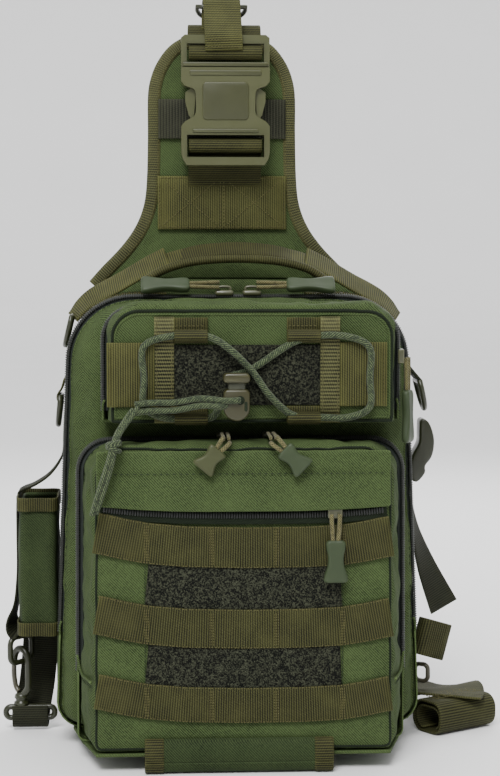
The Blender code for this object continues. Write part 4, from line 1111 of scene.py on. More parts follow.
def upper_pocket():
    rings = [(-32.0, upper_outline(92.0, 1.6)), (-38.0, upper_outline(92.0, 1.2, -0.6)),
             (-43.0, upper_outline(91.8, 0.8, -3.6)), (-49.0, upper_outline(91.3, 0.8, -5.6)),
             (-54.5, upper_outline(90.0, 0.8, -5.0)), (-57.0, upper_outline(90.0, 1.2, -1.6)),
             (-57.6, upper_outline(90, 2.6, 0.0))]
    shell = closed_loft("pocket_upper", rings)

    def pinned(p):
        edge = near(p.y, -34, 4)
        inner = 1.0 if p.y < -56.2 and 216 < p.z < 283 and -82 < p.x < 95 else 0.0
        return max(edge, inner * 0.95, near(p.z, 215, 4))

    swell(shell, 4.0, 3.4, 2.2, pinned, 0.03)
    refine(shell)
    crumple(shell, 1.2, 20.0, lambda p: near(p.y, -46, 9))
    opened(shell, -36.4, False, 2.0)
    box_uv(shell)
    finish_piece(shell, "upper_pocket", fabric, "upper_pocket")
    # Painted shade: a thin dark cord round the pocket face stands for the shadow in the seam's groove.
    groove = [(px, -57.7, pz) for px, pz in dense(upper_outline(90.0, 2.2, -0.8), 3)]
    rod("seam_shade_upper_face", laid_on(groove, shell, 0.1), 1.05, "upper_pocket", painted_shade_dark, closed=True)
    edge = [(px, -57.6, pz) for px, pz in dense(upper_outline(90.0, 4.6, -0.8), 3)]
    rod("piping_upper_face", laid_on(edge, shell, 0.1), 0.8, "upper_pocket", fabric, closed=True)
    outline = dense(upper_outline(92.9, 0.3), 4)
    zipped("upper", outline, 222.0, -35.2, "upper_pocket", "main_front", "upper_zip", 2.4, 0.0)
    band = sweep("pocket_upper_frame", [(px, -28.5, pz) for px, pz in dense(upper_outline(92.9, 0.4), 5)],
                 (0, 1, 0), flat_section(9.6, 1.8), closed=True)
    box_uv(band)
    finish_piece(band, "main_front", fabric)


upper_pocket()


def flat_plate(name, x0, x1, z0, z1, y, thickness, body, material, replaces=(), along_x=True):
    """A flat sewn strip on a face across Y; U runs along X or along Z."""
    if along_x:
        path = [(x0 + (x1 - x0) * i / 4, y, (z0 + z1) / 2) for i in range(5)]
        piece = sweep(name, path, (0, 0, 1), flat_section(z1 - z0, thickness))
    else:
        path = [((x0 + x1) / 2, y, z0 + (z1 - z0) * i / 4) for i in range(5)]
        piece = sweep(name, path, (1, 0, 0), flat_section(x1 - x0, thickness))
    return finish_piece(piece, body, material, replaces)


def lacing_field():
    body = "upper_pocket"
    flat_plate("loop_field", LACE_X - 47, LACE_X + 47, 227.0, 264.5, -58.9, 1.2, body, loop_tape,
               "loop_panel_front")
    for side, label in ((-1, "left"), (1, "right")):
        x = LACE_X + side * 51.5
        flat_plate("lace_strip_" + label, x - 6.2, x + 6.2, 216.0, 282.0, -59.4, 1.6, body, strip_webbing,
                   "lacing_webbing_" + label, along_x=False)
        loop_x = LACE_X + side * 35.0
        for tag, low, high in (("high", 266.0, 281.5), ("low", 216.0, 226.5)):
            flat_plate("lace_tab_%s_%s" % (tag, label), loop_x - 10.5, loop_x + 10.5, low, high, -59.0, 1.5,
                       body, webbing)
        for tag, low, high in (("high", 266.2, 273.5), ("low", 215.6, 222.4)):
            route = [(loop_x, -60.0, high), (loop_x, -62.6, high - 0.2), (loop_x, -65.6, (low + high) / 2 + 1),
                     (loop_x, -65.4, (low + high) / 2 - 1.5), (loop_x, -62.6, low + 0.2), (loop_x, -60.0, low)]
            ribbon("lace_loop_%s_%s" % (tag, label), route, (1, 0, 0), 20.5, body, webbing, thickness=1.2)
        inner = LACE_X + side * 56.5
        outer = LACE_X + side * 87.0
        flat_plate("side_band_" + label, min(inner, outer), max(inner, outer), 226.0, 266.0, -59.2, 1.7, body,
                   light_webbing)
        lines = []
        for z in (274.0, 276.2):
            lines.append([(loop_x - 10, -60.0, z), (loop_x + 10, -60.0, z)])
        for dx in (-4.6, 4.6):
            lines.append([(x + dx, -60.35, 217.0), (x + dx, -60.35, 281.0)])
        edge = LACE_X + side * 85.0
        lines.append([(edge, -60.2, 227.0), (edge, -60.2, 265.0)])
        stitches("lace_stitch_" + label, lines, body, thread_olive, 2.6, 1.8, 0.3)


lacing_field()


def slab(name, outline, y_front, y_back, body, material, replaces=(), edge=0.8, segments=3):
    """A plate in the X-Z plane with rounded edges."""
    size = len(outline)
    verts = [(px, y_front, pz) for px, pz in outline] + [(px, y_back, pz) for px, pz in outline]
    faces = [list(range(size))[::-1], list(range(size, 2 * size))]
    faces += [(k, (k + 1) % size, size + (k + 1) % size, size + k) for k in range(size)]
    piece = make(name, verts, faces)
    bm = bmesh.new()
    bm.from_mesh(piece.data)
    bmesh.ops.recalc_face_normals(bm, faces=bm.faces)
    bm.to_mesh(piece.data)
    bm.free()
    if edge:
        bevel = piece.modifiers.new("edge", "BEVEL")
        bevel.width = edge * MM
        bevel.segments = segments
        bevel.limit_method = "ANGLE"
        bevel.angle_limit = math.radians(50)
        applied(piece)
        piece.data.polygons.foreach_set("use_smooth", [True] * len(piece.data.polygons))
    box_uv(piece)
    return finish_piece(piece, body, material, replaces)


def rounded_rect(cx, cz, half_x, half_z, radius, steps=5):
    points = arc((cx + half_x - radius, cz - half_z + radius), radius, -90, 0, steps)
    points += arc((cx + half_x - radius, cz + half_z - radius), radius, 0, 90, steps)
    points += arc((cx - half_x + radius, cz + half_z - radius), radius, 90, 180, steps)
    points += arc((cx - half_x + radius, cz - half_z + radius), radius, 180, 270, steps)
    return points


def cord_lock():
    """A flat sprung cord lock: body with an eye, and its button."""
    x = -4.4
    outline = arc((x, 226.5), 8.0, 180, 360, 14) + [(x + 8.0, 236.0), (x + 6.6, 238.0), (x - 6.6, 238.0),
                                                    (x - 8.0, 236.0)]
    slab("lock_body", outline, -77.0, -66.8, "upper_pocket", hook_plastic_light, "cord_lock", 1.4, 3)
    # Painted shade: the eye and the slot are dark plates that stand for the shade inside the lock's holes.
    slab("lock_eye", rounded_rect(x + 2.2, 231.4, 2.6, 2.7, 2.5), -77.35, -76.6, "upper_pocket", painted_shade_dark, (),
         0.2, 1)
    slab("lock_slot", rounded_rect(x + 5.6, 227.6, 0.9, 3.0, 0.8), -77.3, -76.6, "upper_pocket", painted_shade_dark, (),
         0.1, 1)
    slab("lock_neck", rounded_rect(x, 239.8, 5.2, 2.6, 1.2), -75.6, -68.2, "lock_button", hook_plastic, (), 0.6)
    slab("lock_cap", rounded_rect(x, 244.8, 8.2, 3.0, 2.4), -77.2, -66.6, "lock_button", hook_plastic_light,
         "lock_button", 1.3, 3)
    for index, (z0, z1) in enumerate(((231.8, 229.2), (228.4, 224.2))):
        route = [(x + 2.4 - 8.5 * index, -78.6 + 3.0 * index, z0 - 0.2), (x - 8.0 - 3.0 * index, -77.2, z0 - 0.6),
                 (x - 22.0, -73.0, z0 + 0.6 - index),
                 (x - 38.0, -69.8, z1 + 0.6), (x - 52.0, -67.4, z1 + 0.2), (x - 62.4, -66.2, z1 - 1.0)]
        rod("lock_strand_%d" % index, route, 2.0, "upper_pocket", lace_cord, per_span=4)


hook_plastic_light = moulded("lock_acetal", (0.026, 0.025, 0.006), 0.38)
cord_lock()


# ------------------------------------------------------------------ pullers
def pull_end(name, place_at, across, body, replaces, start=0.0, material=None):
    """A doubled cord from its slider and a moulded rubber end; place_at(distance) is its line."""
    across = Vector(across).normalized()
    for index, side in enumerate((-1.0, 1.0)):
        line = []
        for i in range(13):
            d = start + (19.5 - start) * i / 12
            spread = 2.6 - 1.3 * (i / 12) ** 1.5
            line.append(place_at(d) + across * side * spread)
        rod("%s_cord_%d" % (name, index), line, 1.4, body, pull_cord)
    shape = ((16.0, 4.0, 1.5), (16.6, 5.6, 2.3), (18.4, 6.3, 2.7), (21.5, 6.0, 2.8), (25.0, 5.0, 2.8),
             (28.5, 4.7, 2.7), (32.0, 5.2, 2.8), (36.0, 6.6, 2.8), (39.6, 7.7, 2.7), (41.6, 7.4, 2.3),
             (42.4, 6.2, 1.5))
    sections = []
    for _, half, thick in shape:
        sections.append([(half * 0.72, -thick), (half * 0.94, -thick * 0.72), (half, -thick * 0.3),
                         (half, thick * 0.3), (half * 0.94, thick * 0.72), (half * 0.72, thick),
                         (half * 0.3, thick * 0.86), (-half * 0.3, thick * 0.86), (-half * 0.72, thick),
                         (-half * 0.94, thick * 0.72), (-half, thick * 0.3), (-half, -thick * 0.3),
                         (-half * 0.94, -thick * 0.72), (-half * 0.72, -thick), (-half * 0.3, -thick * 0.86),
                         (half * 0.3, -thick * 0.86)])
    grip = sweep(name + "_grip", [place_at(d) for d, _, _ in shape], across, sections)
    refine(grip)
    finish_piece(grip, body, material or rubber, replaces)


def slider(name, place, size, body, replaces=()):
    """A zip slider: a domed body."""
    x, y, z = place
    a, b, c = size
    block = make(name, [(x + sx * a, y + sy * b, z + sz * c) for sz in (0, 1) for sy in (-1, 1)
                        for sx in (-1, 1)],
                 [(0, 2, 3, 1), (4, 5, 7, 6), (0, 1, 5, 4), (2, 6, 7, 3), (0, 4, 6, 2), (1, 3, 7, 5)])
    bevel = block.modifiers.new("edge", "BEVEL")
    bevel.width = min(a, b, c) * 0.45 * MM
    bevel.segments = 3
    applied(block)
    block.data.polygons.foreach_set("use_smooth", [True] * len(block.data.polygons))
    box_uv(block)
    return finish_piece(block, body, slider_metal, replaces)


def fittings():
    for side, label in ((-1, "left"), (1, "right")):
        body = "main_slider_" + label
        x = side * 9.0
        slider("zip_slider_main_" + label, (x, -1.8, 293.6), (6.0, 4.4, 3.6), body, body)
        rod("zip_bridge_main_" + label, [(x - 4, -1.8, 297.0), (x - 3.4, -1.8, 299.2), (x + 3.4, -1.8, 299.2),
                                         (x + 4, -1.8, 297.0)], 0.9, body, slider_metal, per_span=3)
        pull_end("main_pull_" + label, lambda d, s=side: Vector((s * (12.0 + d * 1.2), -3.6 - 0.02 * d, 300.6)),
                 (0, 0.8, 0.6), "main_pull_" + label, "main_pull_" + label)
    for label, x, lean in (("left", -11.0, -0.85), ("right", 18.0, 1.05)):
        body = "lower_slider_" + label
        slider("zip_slider_lower_" + label, (x, -38.2, 204.8), (4.6, 4.6, 3.4), body, body)
        for index, side in enumerate((-1.6, 1.6)):
            rod("lead_%s_%d" % (label, index), [(x + side, -42.0, 207.4), (x + side, -50.0, 208.6),
                                                (x + side * 1.1, -62.0, 208.9), (x + side, -74.0, 208.7),
                                                (x + side, -79.4, 207.9)], 1.15, body, pull_cord, per_span=4)

        def line(d, x=x, lean=lean):
            fall = min(d * 0.34, 14.5) if d < 18 else 5.8 + (d - 17.0) * 0.48
            return Vector((x + lean * fall, -80.0 - min(d, 3.0) - 0.6, 207.5 - fall))

        pull_end("lower_pull_" + label, line, (1, 0, lean), "lower_pull_" + label, "lower_pull_" + label,
                 material=rubber_olive if label == "left" else rubber)
    slider("zip_slider_flap", (56.0, -78.4, 158.6), (4.4, 1.6, 8.0), "flap_slider", "flap_slider")
    pull_end("flap_pull", lambda d: Vector((56.0, -82.2 - 0.02 * d, 161.6 - d)), (1, 0, 0), "flap_pull",
             "flap_pull")
    slider("zip_slider_upper", (101.6, -35.5, 251.5), (2.0, 4.4, 9.0), "upper_slider", "upper_slider")
    pull_end("upper_pull", lambda d: Vector((106.0 + 0.02 * d, -35.5, 255.0 - d * 1.28)), (0.42, 0.9, 0),
             "upper_pull", "upper_pull")


fittings()


# ------------------------------------------------------------------ paddle and buckle
PADDLE_SIDE = [(90.0, 302.0), (81.5, 311.5), (68.5, 325.0), (58.8, 338.5), (53.0, 353.0), (50.8, 370.0),
               (50.0, 400.0), (50.0, 424.0), (48.4, 437.0), (43.8, 449.0), (35.0, 460.5), (22.0, 468.5)]


def side_curve(points, x, inset=0.0, per_span=4):
    """The closed outline of a symmetric piece from its right-hand side, drawn in by inset."""
    half = smooth([Vector((px, 0, pz)) for px, pz in points], per_span)
    outline = [(p.x, p.z) for p in half]
    outline += [(-px, pz) for px, pz in reversed(outline)]
    if inset:
        moved = []
        size = len(outline)
        for i, (px, pz) in enumerate(outline):
            a = outline[i - 1]
            b = outline[(i + 1) % size]
            run = Vector((b[0] - a[0], b[1] - a[1]))
            run = run.normalized() if run.length > 1e-6 else Vector((1.0, 0.0))
            moved.append((px - run.y * inset, pz + run.x * inset))
        outline = moved
    return [(x + px, pz) for px, pz in outline]


def paddle():
    rim = side_curve(PADDLE_SIDE, PAD_X)
    rings = []
    for y, inset in ((60.0, 5.5), (61.2, 3.5), (65.0, 2.5), (68.8, 3.5), (70.0, 5.5)):
        rings.append((y, evenly(side_curve(PADDLE_SIDE, PAD_X, inset), 150)))
    pad = closed_loft("paddle_cushion", rings)

    def pinned(p):
        edge = edge_distance(p.x, p.z, rim)
        flat = 1.0 if abs(p.x - PAD_X) < 46 and p.z > 333 and p.y < 66 else 0.0
        return max(1.0 if edge < 8.5 and p.z > 318 else 0.0, flat)

    swell(pad, 4.0, 4.0, 2.5, pinned, 0.01)
    refine(pad)
    box_uv(pad)
    finish_piece(pad, "paddle", fabric, "paddle_pad")
    half = smooth([Vector((px, 0, pz)) for px, pz in PADDLE_SIDE], 4)
    path = [Vector((PAD_X + p.x, 65.0, p.z)) for p in half]
    path += [Vector((PAD_X - p.x, 65.0, p.z)) for p in reversed(half)]
    sides = []
    for i in range(len(path)):
        a = path[max(i - 1, 0)]
        b = path[min(i + 1, len(path) - 1)]
        run = (b - a).normalized()
        sides.append(Vector((run.z, 0.0, -run.x)))
    section = []
    for a, b in ((-8.6, -5.4), (-6.0, -5.9), (-2.5, -5.9), (-0.9, -5.0), (-0.1, -2.6), (0.0, 0.0)):
        section.append((a, b))
    section += [(a, -b) for a, b in reversed(section[:-1])]
    section += [(-8.6, 4.2), (-2.6, 4.4), (-1.8, 0.0), (-2.6, -4.4), (-8.6, -4.2)]
    binding = sweep("paddle_bind", path, sides, section)
    finish_piece(binding, "paddle", binding_webbing, "paddle_binding")
    line = [Vector((p.x, 59.0, p.z)) - s * 7.2 for p, s in zip(path, sides)]
    stitches("paddle_stitch", [line], "paddle", thread_olive, 2.6, 1.8, 0.32)
    flat_plate("paddle_patch_web", PAD_X - 43.5, PAD_X + 43.5, 337.0, 373.0, 57.9, 1.7, "paddle", light_webbing,
               "paddle_patch")
    flat_plate("paddle_loop_strip", PAD_X - 43.0, PAD_X + 43.0, 398.0, 424.5, 58.2, 1.4, "paddle", strip_dark)
    lines = []
    for x in (PAD_X - 42.0, PAD_X + 42.0, PAD_X - 1.2, PAD_X + 1.2):
        lines.append([(x, 56.9, 338.5), (x, 56.9, 371.5)])
    for z in (338.5, 371.5):
        lines.append([(PAD_X - 42, 56.9, z), (PAD_X + 42, 56.9, z)])
    for side in (-1, 1):
        lines.append([(PAD_X + side * 40, 56.9, 340), (PAD_X + side * 3, 56.9, 370)])
        lines.append([(PAD_X + side * 3, 56.9, 340), (PAD_X + side * 40, 56.9, 370)])
    stitches("paddle_patch_stitch", lines, "paddle", thread_olive, 2.4, 1.7, 0.34)
    route = [(BUCKLE_X, 57.6, 366.0), (BUCKLE_X, 57.0, 375.0), (BUCKLE_X, 55.0, 382.0), (BUCKLE_X, 53.6, 387.0),
             (BUCKLE_X, 50.0, 388.6), (BUCKLE_X, 44.5, 388.8), (BUCKLE_X, 42.2, 391.6), (BUCKLE_X, 44.0, 396.4),
             (BUCKLE_X, 51.0, 397.4)]
    ribbon("buckle_loop_web", route, (1, 0, 0), 49.0, "paddle", webbing, thickness=1.5)


def paddle_root():
    """Fabric that carries the paddle's foot down to the bag's back edge, across their hinge."""
    levels = ((284.0, 58.2, 88.0), (291.0, 57.0, 90.5), (296.0, 57.6, 92.0), (301.0, 60.4, 91.0),
              (306.0, 63.0, 86.0), (312.0, 64.4, 79.5), (318.0, 65.0, 74.0))
    verts = []
    columns = 24
    for z, y, half in levels:
        for i in range(columns + 1):
            share = 2 * i / columns - 1
            crease = 1.1 * noise.noise(Vector((share * 5.0, z / 9.0, 0.0)))
            verts.append((PAD_X * (z - 284.0) / 34.0 + half * share, y + crease * (1 - share * share), z))
    faces = []
    for j in range(len(levels) - 1):
        for i in range(columns):
            a = j * (columns + 1) + i
            faces.append((a, a + 1, a + columns + 2, a + columns + 1))
    piece = make("paddle_root_cloth", verts, faces)
    wall = piece.modifiers.new("wall", "SOLIDIFY")
    wall.thickness = 1.6 * MM
    wall.offset = 0.0
    applied(piece)
    refine(piece)
    box_uv(piece)
    finish_piece(piece, None, fabric)
    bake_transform(piece)


def evenly(outline, count):
    """A closed outline as count evenly spaced points."""
    spans = []
    total = 0.0
    for a, b in zip(outline, outline[1:] + outline[:1]):
        spans.append(total)
        total += math.hypot(b[0] - a[0], b[1] - a[1])
    made = []
    index = 0
    for i in range(count):
        want = total * i / count
        while index + 1 < len(spans) and spans[index + 1] <= want:
            index += 1
        a = outline[index]
        b = outline[(index + 1) % len(outline)]
        span = math.hypot(b[0] - a[0], b[1] - a[1]) or 1.0
        share = (want - spans[index]) / span
        made.append((a[0] + (b[0] - a[0]) * share, a[1] + (b[1] - a[1]) * share))
    return made


def edge_distance(x, z, outline):
    return min(math.hypot(px - x, pz - z) for px, pz in outline)


binding_webbing = ribbed("binding_ribs", (0.004, 0.0045, 0.0018), (0.078, 0.080, 0.032), 1.6, 1.3)
strip_dark = ribbed("strip_dark_ribs", (0.003, 0.003, 0.002), (0.034, 0.036, 0.022), 2.0, 1.4)
paddle()
paddle_root()


def moulding(node, width):
    """A new piece with a CAD node's shape, its edges rounded, that stands for the node."""
    piece = bpy.data.objects.new(node + "_shell", nodes[node].data.copy())
    scene.collection.objects.link(piece)
    bevel = piece.modifiers.new("edge", "BEVEL")
    bevel.width = width * MM
    bevel.segments = 3
    bevel.limit_method = "ANGLE"
    bevel.angle_limit = math.radians(35)
    box_uv(applied(piece))
    return piece


def buckle():
    for node, body, width in (("buckle_socket", "paddle", 0.9), ("buckle_plug", "buckle_plug", 0.7),
                              ("buckle_prong_left", "buckle_prong_left", 0.7),
                              ("buckle_prong_right", "buckle_prong_right", 0.7)):
        finish_piece(moulding(node, width), body, buckle_plastic, node)
    slab("socket_rib_low", rounded_rect(BUCKLE_X, 402.3, 22.0, 1.2, 1.0), 40.3, 41.6, "paddle", buckle_plastic,
         (), 0.5)
    slab("socket_face", rounded_rect(BUCKLE_X, 422.0, 15.5, 12.5, 3.0), 40.2, 41.6, "paddle", buckle_plastic,
         (), 0.7)
    slab("socket_mouth", rounded_rect(BUCKLE_X, 440.6, 24.0, 1.8, 1.2), 40.4, 41.6, "paddle", buckle_plastic,
         (), 0.5)
    slab("plug_shoulder", rounded_rect(BUCKLE_X, 446.4, 28.6, 1.5, 1.2), 42.8, 44.4, "buckle_plug",
         buckle_plastic, (), 0.5)


buckle()


def d_points(middle, along, hang, width, depth, radius):
    """A D ring's bar and bow, as in the CAD."""
    middle = Vector(middle)
    along = Vector(along).normalized()
    hang = Vector(hang)
    hang = (hang - along * hang.dot(along)).normalized()
    half = width / 2 - radius
    points = [middle + along * half * t for t in (-1.0, -0.7, -0.35, 0.0, 0.35, 0.7, 1.0)]
    reach = depth - 2 * radius
    for i in range(1, 16):
        angle = math.pi * i / 16
        points.append(middle + along * half * math.cos(angle) + hang * reach * math.sin(angle) ** 0.8)
    return points


def shoulder_strap():
    x = BUCKLE_X
    route = [(53.6, 452.2), (50.0, 450.6), (46.0, 450.2), (42.8, 451.6), (41.8, 454.4), (43.2, 457.4),
             (47.0, 458.4), (51.2, 458.6), (54.4, 461.0), (57.6, 467.0), (61.0, 472.0), (66.0, 474.2),
             (72.0, 473.6), (76.4, 470.0), (77.8, 462.0), (77.8, 430.0), (77.8, 370.0), (77.8, 312.0)]
    ribbon("strap_upper", [(x, py, pz) for py, pz in route], (1, 0, 0), 49.0, "buckle_plug", webbing,
           "shoulder_strap_upper")
    route = [(40.4, 455.5), (40.2, 463.0), (43.5, 469.5), (51.0, 480.5), (56.5, 489.3), (60.2, 491.0),
             (63.3, 488.4), (62.6, 481.0), (60.6, 474.0), (59.6, 470.4)]
    ribbon("ring_keeper_web", [(x - 1.0 - i * 0.25, py, pz) for i, (py, pz) in enumerate(route)], (1, 0, 0),
           25.0, "buckle_plug", light_webbing)
    lines = [[(x - 12.5, 39.3, 457.5), (x + 10.5, 39.3, 457.5)], [(x - 12.5, 39.2, 462.0), (x + 10.5, 39.2, 462.0)]]
    stitches("ring_keeper_stitch", lines, "buckle_plug", thread_olive, 2.2, 1.6, 0.34)
    rod("top_ring", d_points((-8, 59.9, 486.3), (1, 0, 0), (0, 0.9, -0.42), 36.0, 20.0, 1.6), 1.6, "d_ring_top",
        hook_plastic, "d_ring_top", closed=True)

    bridge = sweep("strap_bridge", smooth([(x, 76.4, 326.0), (x, 76.6, 316.0), (-5.5, 76.9, 305.0),
                                           (-4.6, 77.2, 295.0), (-2.0, 77.4, 284.0)], 4),
                   (0.98, 0.0, 0.12), flat_section(48.0, 1.6))
    finish_piece(bridge, None, webbing)
    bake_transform(bridge)
    flat = (0.90, 0.0, 0.44)
    level = (math.cos(math.radians(33)), math.sin(math.radians(33)), 0.0)
    route = [(-4, 78.4, 290), (16, 78.8, 245), (42, 79.5, 180), (66, 82, 120), (82, 88, 78), (95, 95, 44),
             (112, 96, 20), (131, 83, 13), (143, 64, 17), (147.5, 47, 23.0), (145.5, 28, 23.6),
             (142, 18.5, 23.6)]
    across = [flat, flat, flat, (0.9, 0.1, 0.43), (0.8, 0.45, 0.4), (0.6, 0.75, 0.3), (0.45, 0.88, 0.12),
              (0.62, 0.78, 0), (0.8, 0.6, 0), level, level, level]
    ribbon("strap_lower", route, across, 46.0, "bag", strap_webbing, "shoulder_strap_lower", per_span=6)

    way = Vector(level)
    square = Vector((-way.y, way.x, 0.0))
    middle = Vector((148.0, 25.5, 11.3))
    outline = rounded_rect(0.0, 0.0, 13.6, 10.2, 8.2, 7)
    path = [middle + square * (-a) + Vector((0, 0, b)) for a, b in outline]
    roll = sweep("strap_roll", path, level, flat_section(50.0, 1.7), closed=True)
    finish_piece(roll, "bag", strap_webbing, "strap_end_loop")
    inner = rounded_rect(0.0, -0.6, 11.4, 7.4, 6.6, 7)
    path = [middle + square * (-a) + Vector((0, 0, b)) for a, b in inner]
    roll = sweep("strap_roll_inner", path[3:], level, flat_section(48.0, 1.6))
    finish_piece(roll, "bag", strap_webbing)
    lines = []
    for t in (-21.0, 21.0):
        lines.append([middle + way * t + square * (-5.5) + Vector((0, 0, 12.7)),
                      middle + way * t + square * (7.0) + Vector((0, 0, 12.9))])
    for u in (-5.5, 7.0):
        lines.append([middle + way * -21 + square * u + Vector((0, 0, 12.9)),
                      middle + way * 21 + square * u + Vector((0, 0, 12.9))])
    zigzag = []
    for i in range(15):
        zigzag.append(middle + way * (-19 + i * 2.7) + square * (-3.6 if i % 2 else 5.0) + Vector((0, 0, 12.9)))
    lines.append(zigzag)
    stitches("strap_roll_stitch", lines, "bag", thread_olive, 2.1, 1.7, 0.36)


shoulder_strap()


# ------------------------------------------------------------------ handle, tabs and sides
def handle():
    route = [(-70.0, 299.0), (-63.5, 304.5), (-56.0, 309.8), (-46.0, 314.6), (-30.0, 318.6), (-10.0, 320.4),
             (10.0, 320.4), (30.0, 318.6), (46.0, 314.6), (55.0, 309.8), (61.5, 304.5), (68.0, 299.0)]
    route = route[1:-1]
    lean = (0.0, 0.93, 0.37)
    ribbon("handle_web", [(px, 17.5, pz + 1.0) for px, pz in route], lean, 25.0, "carry_handle", light_webbing,
           "carry_handle", 2.2)
    ribbon("handle_layer", [(px * 0.86, 19.0, pz + 3.2) for px, pz in route[1:-1]], lean, 21.0, "carry_handle",
           webbing, thickness=2.0)
    roll = [(px * 0.97, 7.4, pz - 3.2) for px, pz in route]
    section = [(3.2 * math.cos(TAU * i / 12), 2.7 * math.sin(TAU * i / 12)) for i in range(12)]
    finish_piece(sweep("handle_roll", smooth(roll, 4), (0, 1, 0), section), "carry_handle", webbing)
    radius = 43.3
    for side, label in ((-1, "left"), (1, "right")):
        path = [(46.0, 294.4), (60.0, 294.3)] + arc((68.0, 251.0), radius, 88, 42, 8)
        end = path[-1]
        path += [(end[0] + 3.6, end[1] - 1.6)]
        ribbon("shoulder_tab_" + label, [(side * px, 24.0, pz) for px, pz in path], (0, 1, 0), 25.0, "bag",
               webbing, "corner_tab_" + label, 1.7)
        lines = [[(side * px, 24.0 + dy, pz + 1.1) for px, pz in path[1:-2]] for dy in (-10.5, 10.5)]
        stitches("shoulder_tab_stitch_" + label, lines, "bag", thread_olive, 2.6, 1.8, 0.32)
        rise_path = ((107.6, 26.0, 278.6), (103.2, 26.0, 284.6), (97.0, 26.0, 290.4), (89.0, 25.4, 295.4),
                     (79.0, 24.0, 300.6), (68.0, 22.2, 307.0), (57.0, 20.8, 313.4), (46.0, 19.8, 318.8))
        route = smooth([(side * px, py, pz) for px, py, pz in rise_path], 5)
        web = sweep("shoulder_web_" + label, route, (0.0, 0.86, 0.5), flat_section(24.0, 1.8))
        finish_piece(web, None, light_webbing)
        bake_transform(web)


handle()


